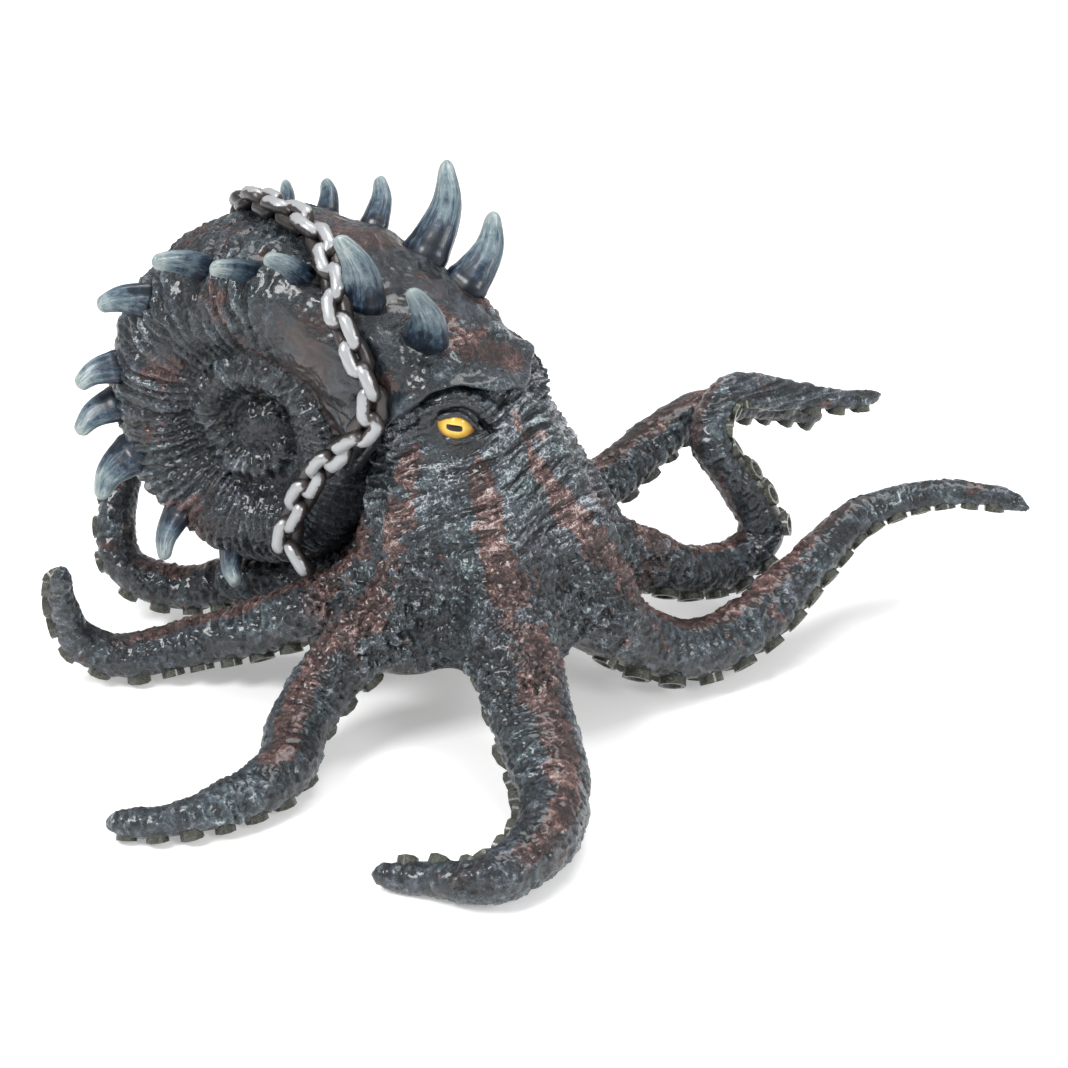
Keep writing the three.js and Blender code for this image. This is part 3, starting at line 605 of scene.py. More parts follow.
blotches = eased(swells(points, 7, 20) + 0.4 * swells(points, 2.6, 21), 0.58, 0.75)
stripe = np.maximum(stripe, 0.7 * blotches * (1 - khaki))

points = points + outward * raised[:, None]
points[:, 2] = np.maximum(points[:, 2], FLOOR)
move_to(body, points)
noted(body, relief=relief, stripe=stripe, khaki=khaki, grainy=(0.3 + 0.7 * calm) * (1 - 0.4 * on_arm),
      flow=np.where(on_arm[:, None] > 0, rolled / (1, 3.2, 1), slant / (6, 6, 1)),
      lined=np.maximum(fold_share * 0.8, face_share) * (0.4 + 0.6 * calm) * (1 - khaki))

# Each casting keeps its own faces, and its open end is closed with a flat wall
corners = np.zeros(len(body.data.loops), np.int64)
body.data.loops.foreach_get("vertex_index", corners)
starts = np.zeros(len(body.data.polygons), np.int64)
body.data.polygons.foreach_get("loop_start", starts)
sizes = np.diff(np.append(starts, len(corners)))
centres = np.add.reduceat(points[corners], starts) / sizes[:, None]
near_arm, near_share = along_arms(centres)[:2]
seam_at, seam_way = [np.array([line[key][seam_step] for line in lines])[near_arm]
                     for key in ("middle", "tangent")]
past = ((centres - seam_at) * seam_way).sum(axis=1) > 0
casting = np.where(past & (near_share > CUT_FROM), near_arm, -1)
castings = {}
for i, name in enumerate(arm_names):
    picked(body, "polygons", casting == i)
    bpy.ops.mesh.separate(type="SELECTED")
    bpy.ops.object.mode_set(mode="OBJECT")
    casting = casting[casting != i]
    castings[name] = next(o for o in bpy.context.selected_objects if o is not body)
    castings[name].name = name + "_skin"
castings["head"] = body
body.name = "head_skin"
for obj in castings.values():
    only(obj)
    bpy.ops.object.mode_set(mode="EDIT")
    bpy.ops.mesh.select_mode(type="EDGE")
    bpy.ops.mesh.select_all(action="DESELECT")
    bpy.ops.mesh.select_non_manifold(extend=False, use_wire=False, use_multi_face=False,
                                     use_non_contiguous=False, use_verts=False)
    bpy.ops.mesh.fill_holes(sides=0)
    bpy.ops.mesh.select_all(action="SELECT")
    bpy.ops.object.mode_set(mode="OBJECT")


# Suckers: short hollow-ended stubs in two rows under each arm, moulded with it. Those that the
# figure stands on are pressed flat.

SUCKER_PITCH = (4.6, 0.4)       # millimetres apart, plus this share of the arm's radius
SUCKER_HEIGHT = (2.1, 0.2)      # the same for how tall they stand
SUCKER_SIZE = 0.37              # half of a sucker's width, as a share of the pitch
SUCKER_TURN = 28                # degrees from the belly line to a sucker's foot
SUCKER_LEAN = 24                # and how far it leans out
SUCKER_SINK = 1.1               # how far its foot reaches into the arm


def model_sucker():
    """One sucker a unit across and a unit high, its mouth at the top."""
    bpy.ops.mesh.primitive_cylinder_add(vertices=8, radius=0.94, depth=1, location=(0, 0, 0.5))
    peg = bpy.context.active_object
    bpy.ops.object.mode_set(mode="EDIT")
    bpy.ops.mesh.select_all(action="DESELECT")
    bpy.ops.object.mode_set(mode="OBJECT")
    for face in peg.data.polygons:
        face.select = face.normal.z > 0.9
    bpy.ops.object.mode_set(mode="EDIT")
    bpy.ops.transform.resize(value=(1.1, 1.1, 1))
    bpy.ops.mesh.inset(thickness=0.3)
    bpy.ops.mesh.inset(thickness=0.14, depth=-0.26)
    bpy.ops.object.mode_set(mode="OBJECT")
    outwards(peg)
    return peg


def as_pattern(obj):
    """An object's points and faces, kept as the pattern for copies, and the object put away."""
    points = np.array([v.co for v in obj.data.vertices])
    faces = [list(face.vertices) for face in obj.data.polygons]
    bpy.data.objects.remove(obj)
    return points, faces


bpy.ops.object.select_all(action="DESELECT")
sucker_points, sucker_faces = as_pattern(model_sucker())
sucker_pit = np.hypot(sucker_points[:, 0], sucker_points[:, 1]) < 0.55
suckers = 0             # how many there are so far, which sets each one's wobble
for name, line in zip(arm_names, lines):
    places = []
    share = SEAM_AT + 2.5 / line["length"]
    while share < 0.97:
        at = {key: np.array([np.interp(share, line["share"], line[key][:, i]) for i in range(3)])
              for key in ("middle", "belly", "side")}
        radius = np.interp(share, line["share"], line["radius"])
        pitch = SUCKER_PITCH[0] + SUCKER_PITCH[1] * radius
        for side in (1, -1):
            turn, lean = math.radians(SUCKER_TURN), math.radians(SUCKER_LEAN)
            foot = (at["middle"] + radius * BELLY_FLAT * math.cos(turn) * at["belly"]
                    + radius * side * math.sin(turn) * at["side"])
            out = at["belly"] * math.cos(lean) + side * at["side"] * math.sin(lean)
            places.append((foot, out, np.cross(at["side"], at["belly"]), radius, pitch))
        share += pitch / line["length"]
    points, faces, pits = [], [], []
    for i, (foot, out, way, radius, pitch) in enumerate(places):
        wobble = scattered(np.array([[i, suckers, 3]]), 31)[0]
        out = unit(out + (wobble - 0.5) * 0.16)
        way = unit(way - (way @ out) * out)
        size = SUCKER_SIZE * pitch * (0.92 + 0.16 * wobble[0])
        tall = SUCKER_HEIGHT[0] + SUCKER_HEIGHT[1] * radius * (0.9 + 0.2 * wobble[1])
        across = sucker_points[:, :1] * way + sucker_points[:, 1:2] * np.cross(out, way)
        shape = (foot - SUCKER_SINK * out + size * across
                 + (tall + SUCKER_SINK) * sucker_points[:, 2:] * out)
        shape[:, 2] = np.maximum(shape[:, 2], FLOOR)
        faces += [[v + len(points) * len(sucker_points) for v in face] for face in sucker_faces]
        points.append(shape)
        pits.append(sucker_pit)
    stubs = new_mesh(name + "_suckers", placed(np.vstack(points)), faces)
    blank = np.zeros(len(stubs.data.vertices))
    noted(stubs, relief=np.where(np.concatenate(pits), 0.12, 0.62), stripe=blank, khaki=blank + 1,
          grainy=blank + 0.5)
    castings[name + "_stubs"] = stubs
    suckers += len(places)


# Paint: slate over the whole skin, wiped back to black in the creases and dry-brushed pale on the
# crowns, with red-brown and khaki sprayed on and a satin varnish over it all.


def piped(tree, kind, inputs=(), take=0, **settings):
    """Adds a node with values or other nodes' outputs at its inputs, and gives one of its outputs."""
    made = tree.nodes.new("ShaderNode" + kind)
    for key, value in settings.items():
        setattr(made, key, value)
    for key, value in dict(inputs).items():
        if isinstance(value, bpy.types.NodeSocket):
            tree.links.new(value, made.inputs[key])
        else:
            made.inputs[key].default_value = value
    return made.outputs[take]


def sums(tree, first, operation, second, clamp=False):
    """The result of one sum of two values."""
    return piped(tree, "Math", {0: first, 1: second}, operation=operation, use_clamp=clamp)


def centred(tree, value, strength, middle=0.5):
    """A value's distance above its middle, times a strength."""
    return sums(tree, sums(tree, value, "SUBTRACT", middle), "MULTIPLY", strength)


def mapped(tree, value, low, high, first=0.0, last=1.0):
    """From first where value is low to last where it is high, and no further."""
    return piped(tree, "MapRange", {0: value, 1: low, 2: high, 3: first, 4: last})


def ramp(tree, value, stops):
    """The paint for a value, mixed between stops of position and colour."""
    made = tree.nodes.new("ShaderNodeValToRGB")
    elements = made.color_ramp.elements
    elements[0].position, elements[1].position = stops[0][0], stops[-1][0]
    elements[0].color, elements[-1].color = (*stops[0][1], 1), (*stops[-1][1], 1)
    for position, colour in stops[1:-1]:
        elements.new(position).color = (*colour, 1)
    tree.links.new(value, made.inputs[0])
    return made.outputs[0]


def blended(tree, share, first, second, blend="MIX"):
    """Two colours mixed, or multiplied, by share."""
    made = tree.nodes.new("ShaderNodeMix")
    made.data_type = "RGBA"
    made.blend_type = blend
    for socket, value in ((made.inputs[0], share), (made.inputs[6], first), (made.inputs[7], second)):
        if isinstance(value, bpy.types.NodeSocket):
            tree.links.new(value, socket)
        else:
            socket.default_value = value if isinstance(value, float) else (*value, 1)
    return made.outputs[2]


def speckle(tree, scale, detail=3.0, offset=0.0):
    """Noise from 0 to 1 over the object, its patches about 1/scale of a metre wide."""
    place = tree.nodes.get("Place") or tree.nodes.new("ShaderNodeTexCoord")
    place.name = "Place"
    spot = place.outputs["Object"]
    if offset:
        spot = piped(tree, "Mapping", {"Vector": spot, "Location": (offset, offset * 1.7, -offset)})
    return piped(tree, "TexNoise", {"Vector": spot, "Scale": scale, "Detail": detail})


def new_finish(name, **levels):
    """A new material, its node tree and its surface, with levels for the surface's sockets."""
    material = bpy.data.materials.new(name)
    material.use_nodes = True
    surface = material.node_tree.nodes["Principled BSDF"]
    for key, level in levels.items():
        surface.inputs[key.replace("_", " ")].default_value = level
    return material, material.node_tree, surface


def reading(tree, name):
    """A number that noted kept on the vertices."""
    return piped(tree, "Attribute", attribute_name=name, take=2)


SLATE = [(0, (0.004, 0.006, 0.008)), (0.28, (0.010, 0.015, 0.020)), (0.48, (0.034, 0.048, 0.060)),
         (0.66, (0.070, 0.092, 0.105)), (0.84, (0.16, 0.19, 0.205)), (1, (0.46, 0.50, 0.52))]
BROWN = [(0, (0.014, 0.007, 0.006)), (0.28, (0.034, 0.016, 0.015)), (0.48, (0.090, 0.045, 0.040)),
         (0.66, (0.155, 0.080, 0.070)), (0.84, (0.26, 0.165, 0.15)), (1, (0.52, 0.42, 0.40))]
KHAKI = [(0, (0.010, 0.011, 0.008)), (0.3, (0.034, 0.037, 0.027)), (0.55, (0.078, 0.082, 0.060)),
         (0.8, (0.155, 0.160, 0.125)), (1, (0.30, 0.30, 0.24))]
CRISP_EDGE = 55         # degrees past which an edge stays crisp, as round a sucker's mouth


def crested(tree, noise, width, height):
    """Thin wandering lines, height tall, on a ground of 0."""
    away = sums(tree, sums(tree, noise, "SUBTRACT", 0.5), "ABSOLUTE", 0)
    return mapped(tree, away, 0.0, width, height, 0.0)


def paint_height(tree):
    """How high the skin stands, with its finest wrinkles and the brush's own unevenness."""
    flow = piped(tree, "Attribute", attribute_name="flow", take=1)
    wrinkle = piped(tree, "TexNoise", {"Vector": flow, "Scale": 0.9, "Detail": 3.0})
    wrinkle = sums(tree, crested(tree, wrinkle, 0.08, 0.34), "MULTIPLY", reading(tree, "lined"))
    lines = sums(tree, crested(tree, speckle(tree, 620, 2.5, 0.2), 0.07, 0.44), "ADD",
                 crested(tree, speckle(tree, 1300, 2.5, 0.9), 0.08, 0.36))
    grain = centred(tree, speckle(tree, 2200, 3.0), 0.5, middle=0.55)
    fine = sums(tree, sums(tree, grain, "ADD", lines), "MULTIPLY", reading(tree, "grainy"))
    broad = centred(tree, speckle(tree, 90, 2.0, 0.7), 0.2)
    noise = sums(tree, sums(tree, fine, "ADD", wrinkle), "ADD", broad)
    tall = sums(tree, reading(tree, "relief"), "MULTIPLY", 0.92)
    return sums(tree, sums(tree, tall, "ADD", noise), "SUBTRACT", 0.29)


def varnished(tree, surface, colour, height, depth):
    """Joins up a colour and the fine relief under the varnish, depth metres from low to high."""
    tree.links.new(colour, surface.inputs["Base Color"])
    dulled = sums(tree, speckle(tree, 420, 3.0, 0.9), "MULTIPLY", 0.5)
    tree.links.new(sums(tree, dulled, "ADD", 0.12), surface.inputs["Roughness"])
    bump = piped(tree, "Bump", {"Height": height, "Strength": 0.8, "Distance": depth})
    tree.links.new(bump, surface.inputs["Normal"])


def rounded(obj):
    """Shades an object as one smooth surface."""
    obj.data.polygons.foreach_set("use_smooth", [True] * len(obj.data.polygons))


skin_paint, tree, surface = new_finish("skin_paint", Coat_Weight=0.55, Coat_Roughness=0.15, IOR=1.45)
height = paint_height(tree)
slate = ramp(tree, height, SLATE)
hue = mapped(tree, speckle(tree, 75, 2.0, 1.3), 0.38, 0.62)
slate = blended(tree, 1.0, slate, blended(tree, hue, (0.93, 1.02, 1.02), (1.05, 0.97, 1.04)), "MULTIPLY")
frayed = centred(tree, speckle(tree, 420, 4.0, 2.1), 0.8)
brown_share = sums(tree, sums(tree, reading(tree, "stripe"), "ADD", frayed), "MULTIPLY", 1.15)
brown_share = mapped(tree, brown_share, 0.25, 0.85)
colour = blended(tree, brown_share, slate, ramp(tree, height, BROWN))
colour = blended(tree, reading(tree, "khaki"), colour, ramp(tree, height, KHAKI))
varnished(tree, surface, colour, height, depth=0.0006)

for name in ["head", *arm_names]:
    skin = castings[name]
    if name != "head":
        only(skin, castings[name + "_stubs"])
        bpy.ops.object.join()
    skin.data.materials.clear()
    skin.data.materials.append(skin_paint)
    rounded(skin)
    if name != "head":
        only(skin)
        bpy.ops.object.shade_smooth_by_angle(angle=math.radians(CRISP_EDGE))
    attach(skin, "root")
    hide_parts(name)


# Eyes: two glass-smooth balls of vinyl pressed into their sockets, painted golden yellow with a
# flat bar of a pupil, and lacquered.

PUPIL = (1.6, 0.62)         # half of its length and height
PUPIL_AT = (-0.85, -0.35)   # its middle from the gaze, towards the front and up
CORNEA = 0.35               # how far the clear front swells out of the ball

eye_paint, tree, surface = new_finish("eye_lacquer", Coat_Weight=0.25, Coat_Roughness=0.03,
                                      Roughness=0.2, IOR=1.3)
along = sums(tree, reading(tree, "along"), "SUBTRACT", PUPIL_AT[0])
up = sums(tree, reading(tree, "up"), "SUBTRACT", PUPIL_AT[1])
up = sums(tree, up, "ADD", sums(tree, along, "MULTIPLY", 0.12))
wide = sums(tree, sums(tree, along, "DIVIDE", PUPIL[0]), "ABSOLUTE", 0)
tall = sums(tree, sums(tree, up, "DIVIDE", PUPIL[1]), "ABSOLUTE", 0)
bar = sums(tree, sums(tree, wide, "POWER", 4.0), "ADD", sums(tree, tall, "POWER", 4.0))
bar = mapped(tree, bar, 0.8, 1.25, 1.0, 0.0)
tall = sums(tree, up, "MULTIPLY", 1.45)
reach = sums(tree, sums(tree, along, "MULTIPLY", along), "ADD", sums(tree, tall, "MULTIPLY", tall))
reach = sums(tree, sums(tree, reach, "POWER", 0.5), "ADD",
             sums(tree, speckle(tree, 900, 2.0), "MULTIPLY", 0.5))
iris = ramp(tree, sums(tree, reach, "DIVIDE", 5.0),
            [(0, (0.76, 0.58, 0.16)), (0.35, (0.80, 0.56, 0.12)), (0.62, (0.62, 0.38, 0.05)),
             (0.78, (0.30, 0.12, 0.02)), (1, (0.06, 0.025, 0.01))])
tree.links.new(blended(tree, bar, iris, (0.010, 0.005, 0.003)), surface.inputs["Base Color"])

for word, side in (("left", 1), ("right", -1)):
    bpy.ops.object.select_all(action="DESELECT")
    middle, gaze, along_way, up_way = eye_axes(side)
    bpy.ops.mesh.primitive_ico_sphere_add(subdivisions=5, radius=EYE_RADIUS * MM, location=(0, 0, 0))
    ball = bpy.context.active_object
    ball.name = f"eyeball_{word}"
    towards = np.array([v.co for v in ball.data.vertices]) / MM / EYE_RADIUS
    cornea = CORNEA * eased(towards @ gaze, 0.8, 0.97)
    move_to(ball, middle + towards * (EYE_RADIUS + cornea)[:, None])
    noted(ball, along=towards @ along_way * EYE_RADIUS, up=towards @ up_way * EYE_RADIUS)
    rounded(ball)
    ball.data.materials.append(eye_paint)
    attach(ball, "root")
    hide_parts(f"eye_{word}")


# Shell: a coiled shell of harder vinyl glued over the back of the head, its open mouth a hood that
# reaches over the eyes. Growth folds cross the whorls; the hood is smoother, with warts on its nose.

COIL_MIDDLE = (-47, 58)         # its x and height
LIP_TURN = 20                   # degrees up from level, from the coil's middle to its lip
# Degrees back from the lip, the coil's outer radius and half of its width
COIL_ROWS = np.array([
    (-20, 60.5, 20), (0, 60.5, 20), (18, 53.5, 21), (36, 48.5, 21), (72, 44.5, 20), (112, 41.5, 19),
    (162, 39.8, 18), (205, 37, 17.5), (252, 34, 17), (342, 27, 16), (432, 21, 15.5),
    (522, 17.5, 15), (612, 14, 14), (696, 10.5, 13)])
WHORL_CENTRE, WHORL_DEPTH = 0.66, 0.345     # shares of the coil's outer radius
# The lip's lean in degrees, by the turn round the whorl from its back
LIP_LEAN = np.array([(0, 4), (20, 1.5), (40, -1.5), (60, -3.5), (80, -0.5), (100, 6), (120, 19),
                     (150, 41), (180, 64)])
LIP_FADE = 100                  # degrees back from the lip where that lean has gone
# The mouth's wall and the lip, as degrees back and lift, from deep inside to the outside
MOUTH = [(13, -4.6), (10, -4.2), (7, -3.7), (4, -3.1), (2, -2.5), (0.5, -1.7), (-0.4, -0.7), (-0.6, 0.4),
         (0, 1.3), (0.8, 1.7)]
# The roll along the lip and the groove behind it: height, degrees back and reach
LIP_ROLL, LIP_GROOVE = (1.8, 0.8, 2), (1.0, 4.8, 1.7)
APEX = (9, 13.5)                # half of the coil's round middle, across and along its width
SHELL_VOXEL = 1.07
FOLD_EVERY = 4.6                # millimetres along the whorl
FOLD_HEIGHT, HOOD_CALMER = 2.6, 1.5     # from groove to fold, and how much less it is on the hood


def coil_point(back, around, lift=0.0):
    """The shell's skin at degrees back from the lip and round the whorl, raised by lift."""
    back, around = np.broadcast_arrays(np.asarray(back, float), np.asarray(around, float))
    outer, width = [np.interp(back, COIL_ROWS[:, 0], COIL_ROWS[:, i]) for i in (1, 2)]
    lean = np.interp(apart(around, 0), *LIP_LEAN.T) * np.clip(1 - back / LIP_FADE, 0, 1)
    angle = np.radians(LIP_TURN + back - lean)
    turn = np.radians(around)
    reach = outer * WHORL_CENTRE + (outer * WHORL_DEPTH + lift) * np.cos(turn)
    across = (width + lift) * np.sin(turn)
    return np.stack([COIL_MIDDLE[0] + reach * np.cos(angle), across,
                     COIL_MIDDLE[1] + reach * np.sin(angle)], axis=-1)


around_ring = np.linspace(-180, 180, 96, endpoint=False)
rings = [coil_point(back, around_ring, lift) for back, lift in MOUTH]
(roll, *roll_at), (groove, *groove_at) = LIP_ROLL, LIP_GROOVE
for back in np.arange(1.6, 696.1, 1.2):
    lift = roll * hump(back, *roll_at) - groove * hump(back, *groove_at)
    rings.append(coil_point(back, around_ring, lift))
coil = loft("shell_skin", rings)
bpy.ops.object.select_all(action="DESELECT")
bpy.ops.mesh.primitive_uv_sphere_add(segments=32, ring_count=20, radius=1, location=(0, 0, 0))
apex = bpy.context.active_object
move_to(apex, np.array([v.co for v in apex.data.vertices]) * (APEX[0], APEX[1], APEX[0])
        + (COIL_MIDDLE[0], 0, COIL_MIDDLE[1]))
only(coil, apex)
bpy.ops.object.join()
shaped(coil, "REMESH", mode="VOXEL", voxel_size=SHELL_VOXEL * MM)
shaped(coil, "SMOOTH", factor=0.5, iterations=4)
shaped(coil, "SUBSURF", levels=1, render_levels=1)

# Where each vertex is on the coil comes from the nearest few of a net of known points
net_back, net_around = [grid.ravel() for grid in np.meshgrid(np.arange(0, 697, 1.5), np.arange(-180, 180, 4))]
net = coil_point(net_back, net_around)
net_tree = kdtree.KDTree(len(net))
for i, point in enumerate(net):
    net_tree.insert(point, i)
net_tree.balance()
points = on_sculpt(coil)
outward = vectors_of(coil, "normal")
found = [net_tree.find_n(p, 3) for p in points]
index = np.array([[f[1] for f in each] for each in found])
gap = np.array([[f[2] for f in each] for each in found]) + 0.05
weight = 1 / gap ** 2
near = np.abs(net_back[index] - net_back[index[:, :1]]) < 20
weight = weight * near / (weight * near).sum(axis=1, keepdims=True)
back = (net_back[index] * weight).sum(axis=1)
swing = (net_around[index] - net_around[index[:, :1]] + 180) % 360 - 180
around = (net_around[index[:, 0]] + (swing * weight).sum(axis=1) + 180) % 360 - 180
outer = np.interp(back, COIL_ROWS[:, 0], COIL_ROWS[:, 1])
# Millimetres along the whorl from the lip, and round it
walked_back = np.arange(0, 700.0)
walked = np.cumsum(np.radians(1) * np.interp(walked_back, COIL_ROWS[:, 0], COIL_ROWS[:, 1]) * 0.8)
along_coil = np.interp(back, walked_back, walked)
coiled = np.stack([along_coil, np.radians(around) * outer * 0.4, np.floor(back / 360) * 60], axis=1)

hood = eased(back + 8 * swells(points, 12, 41), 66, 42)
inner = eased(back, 300, 380)
flank = eased(np.abs(around), 15, 45)
lip = hump(back, 0, 2.6) * (np.abs(around) < 150)
nose = eased(back, 28, 12) * eased(np.abs(around), 75, 40)
every = FOLD_EVERY * np.clip(outer / 42, 0.5, 1.1)
phase = math.pi * (along_coil / every + 0.7 * swells(coiled, (11, 16, 9), 42) + 0.2 * swells(points, 3.5, 43))
ridge = np.abs(np.sin(phase)) ** 0.8 * (0.7 + 0.5 * swells(coiled, (14, 9, 9), 44))
strands = layered(creases(coiled, (1.9, 8, 9), 53, 2.5), 0.6 * creases(coiled, (1.1, 5, 9), 54, 2.5))
warts = layered(beads(points, 3.0, 45), 0.7 * beads(points, 1.7, 46))
curls = layered(0.85 * creases(points, (4.2, 4.2, 2.8), 55, 2.8), 0.5 * creases(points, 1.8, 56, 2.6))
clustered = eased(swells(points, 9, 57), 0.0, 0.4)
fine = swells(points, 0.9, 47)
folded = 0.68 * ridge + 0.32 * strands
knobbly = layered(0.5 * warts * clustered, 0.45 * strands, 0.3 * curls)
whorled = folded * (0.3 + 0.7 * flank) + knobbly * 0.7 * (1 - flank)
whorled = merged(whorled, 0.25 * ridge + 0.75 * strands, inner)
warty = layered(0.75 * warts * (0.1 + 0.9 * clustered * nose), 0.25 * curls)
rolling = hood * swells(points, (8, 8, 5), 58)
rough = merged(whorled, warty, hood) * (1 - 0.75 * lip)
scale = np.clip(outer / 42, 0.5, 1.05)
raised = (FOLD_HEIGHT - HOOD_CALMER * hood) * (rough - 0.42) * scale
raised = raised + 0.9 * swells(points, 11, 48) + 0.9 * rolling
raised += (0.12 - 0.08 * hood) * fine
raised = np.where(np.abs(around) > 150, raised * 0.4, raised)
# Low spots gather the dark wash; the coil's hollows are darkened most, as painted shade
coil_shade = 0.22 * eased(np.abs(around), 95, 150) + 0.12 * inner
relief = rough - 0.1 + (0.17 - 0.1 * hood) * fine + 0.16 * swells(points, 5, 49) + 0.14 * lip
relief = np.clip(relief - coil_shade + 0.42 * hood + 0.3 * rolling, 0, 1)
ragged = 0.35 * swells(points, 2.6, 51) + 0.2 * swells(points, 1.2, 52)
brown = eased(swells(points, 11, 50) + ragged + 0.2 * hood - 0.05, 0.1, 0.6)
brown *= np.maximum(hood, 0.8 * eased(back, 300, 200)) * (1 - lip)
points = points + outward * raised[:, None]
move_to(coil, points)
noted(coil, relief=relief, stripe=brown, khaki=np.zeros(len(points)),
      grainy=0.8 - 0.6 * hood * (1 - nose), flow=coiled / (1, 4, 1),
      lined=(0.25 + 0.55 * inner) * (1 - hood))
rounded(coil)
coil.data.materials.clear()
coil.data.materials.append(skin_paint)
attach(coil, "root")
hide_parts("shell")


# Horns: eleven curved, flattened claws of vinyl down each side of the shell, each plugged into its
# own hole, brushed from dark blue at the root to grey-green at a blunt tip, and scratched lengthwise.

# Degrees back from the lip, length, foot radius, lean to the side and distance from the shell's middle
HORNS_BEHIND = [(82.4, 12.7, 3, 54, 16.1), (113, 10.6, 3.6, 48.7, 15.4), (144.5, 9.5, 3.4, 41, 15.5),
                (160, 10.6, 3.8, 43, 15.1), (180, 12.3, 4.6, 36, 15.5), (210.5, 10.6, 3.6, 40, 15.5),
                (237.5, 8.1, 3.2, 29.7, 13.4)]
HORNS = {"right": [(14, 18.5, 4.4, 33, 12.4), (30.8, 17, 4.6, 20.5, 13.9), (47.8, 11.7, 2.8, 50, 15.6),
                   (63.4, 11.2, 2.7, 62, 17.2), *HORNS_BEHIND],
         "left": [(18.4, 16.5, 5, 34, 14.5), (31.4, 21.3, 5.3, 36, 14.3), (48.7, 11.8, 3.8, 44, 14.5),
                  (65.3, 9, 3.3, 44, 15.2), *HORNS_BEHIND]}
HORN_SWEEP, HORN_CURL = 14, 32          # degrees back at the foot, and further back by the tip
HORN_ROOT, HORN_TIP = 3, 1.5            # length inside the shell, and radius of the tip
HORN_RINGS = 30


def model_horn():
    """A straight rod of unit length and radius, drawn out ring by ring, for the horns to be bent from."""
    bpy.ops.mesh.primitive_circle_add(vertices=28, radius=1, fill_type="NGON", location=(0, 0, 0))
    rod = bpy.context.active_object
    bpy.ops.object.mode_set(mode="EDIT")
    bpy.ops.mesh.select_all(action="SELECT")
    for _ in range(HORN_RINGS):
        bpy.ops.mesh.extrude_region_move(TRANSFORM_OT_translate={"value": (0, 0, 1 / HORN_RINGS)})
    bpy.ops.mesh.poke()
    bpy.ops.object.mode_set(mode="OBJECT")
    outwards(rod)
    return rod


bpy.ops.object.select_all(action="DESELECT")
rod_points, rod_faces = as_pattern(model_horn())

horn_paint, tree, surface = new_finish("horn_paint", Coat_Weight=0.25, Coat_Roughness=0.15, IOR=1.45)
rise = reading(tree, "rise")
grain_at = piped(tree, "CombineXYZ", {"X": reading(tree, "ring"), "Y": sums(tree, rise, "MULTIPLY", 1.3)})
scratches = piped(tree, "TexNoise", {"Vector": grain_at, "Scale": 3.2, "Detail": 5.0, "Roughness": 0.75})
scratches = centred(tree, scratches, 2.1)
cloudy = centred(tree, speckle(tree, 260, 3.0), 0.7)
pale = sums(tree, sums(tree, scratches, "ADD", cloudy), "ADD", centred(tree, reading(tree, "relief"), 0.35))
pale = sums(tree, sums(tree, rise, "MULTIPLY", 0.92), "ADD", pale)
colour = ramp(tree, pale, [(0.0, (0.004, 0.008, 0.015)), (0.2, (0.016, 0.030, 0.053)),
                           (0.42, (0.070, 0.108, 0.140)), (0.70, (0.155, 0.205, 0.220)),
                           (1, (0.32, 0.37, 0.36))])
varnished(tree, surface, colour, scratches, depth=0.00005)

for word, side in (("left", 1), ("right", -1)):
    for number, (horn_back, length, foot, lean, across) in enumerate(HORNS[word], 1):
        width = np.interp(horn_back, COIL_ROWS[:, 0], COIL_ROWS[:, 2])
        seat = coil_point(horn_back, side * math.degrees(math.asin(across / width)))
        reach, aside = math.cos(math.radians(lean)), side * math.sin(math.radians(lean))

        def aim(bend):
            turn = math.radians(LIP_TURN + horn_back + HORN_SWEEP + bend)
            return np.array((reach * math.cos(turn), aside, reach * math.sin(turn)))

        middle = seat + aim(HORN_CURL / 2) * length * 0.5
        tip = middle + aim(HORN_CURL * 1.5) * length * 0.5
        line, _ = smooth_line([seat - aim(0) * HORN_ROOT, seat, middle, tip], 101)
        way = unit(np.gradient(line, axis=0))
        flat = unit(np.cross(way, aim(90)))
        broad = np.cross(flat, way)
        rise = rod_points[:, 2]
        step = np.clip(np.round(rise * 100), 0, 100).astype(int)
        root = HORN_ROOT / (HORN_ROOT + length)
        up = np.clip((rise - root) / (1 - root), 0, 1)
        blunt = np.sqrt(np.clip(1 - np.clip((up - 0.9) / 0.1, 0, 1) ** 2 * 0.93, 0, 1))
        flare = 0.10 * hump(rise, root, 0.06)
        radius = (HORN_TIP + (foot - HORN_TIP) * (1 - up ** 1.35) * (1 + flare)) * blunt
        turns = np.arctan2(rod_points[:, 1], rod_points[:, 0])
        ring = np.stack([np.cos(turns), np.sin(turns)], axis=1) * 1.5
        spot = np.column_stack([ring, up * 0.7 + number * 9.1 + side * 3])
        groove = swells(spot, 0.6, 60) + 0.6 * swells(spot, (0.3, 0.3, 0.9), 61)
        radius = radius * (1 + 0.055 * groove + 0.012 * swells(spot * (1, 1, 6), 0.6, 90))
        # The outward face is flattened and the curl's inside is a keel
        x, y = rod_points[:, :1] * 0.8, rod_points[:, 1:2] * 1.06
        x = np.where(x * side < 0, x * 0.8, x)
        shape = line[step] + (flat[step] * x + broad[step] * y) * radius[:, None]
        horn = new_mesh(f"claw_{word}_{number}", placed(shape), rod_faces)
        noted(horn, relief=0.5 + 0.5 * groove, rise=up,
              ring=ring[:, 0] * 2.3 + np.abs(ring[:, 1]) * 1.7 + number)
        outwards(horn)
        shaped(horn, "SUBSURF", levels=1, render_levels=1)
        rounded(horn)
        horn.data.materials.append(horn_paint)
        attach(horn, "root")
        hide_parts(f"horn_{word}_{number}")


# Chain: a string of oval links moulded in one piece, laid over the hood and left hanging at the
# side, its links leaning left and right in turn. Silver is brushed on their tops over a dark wash.

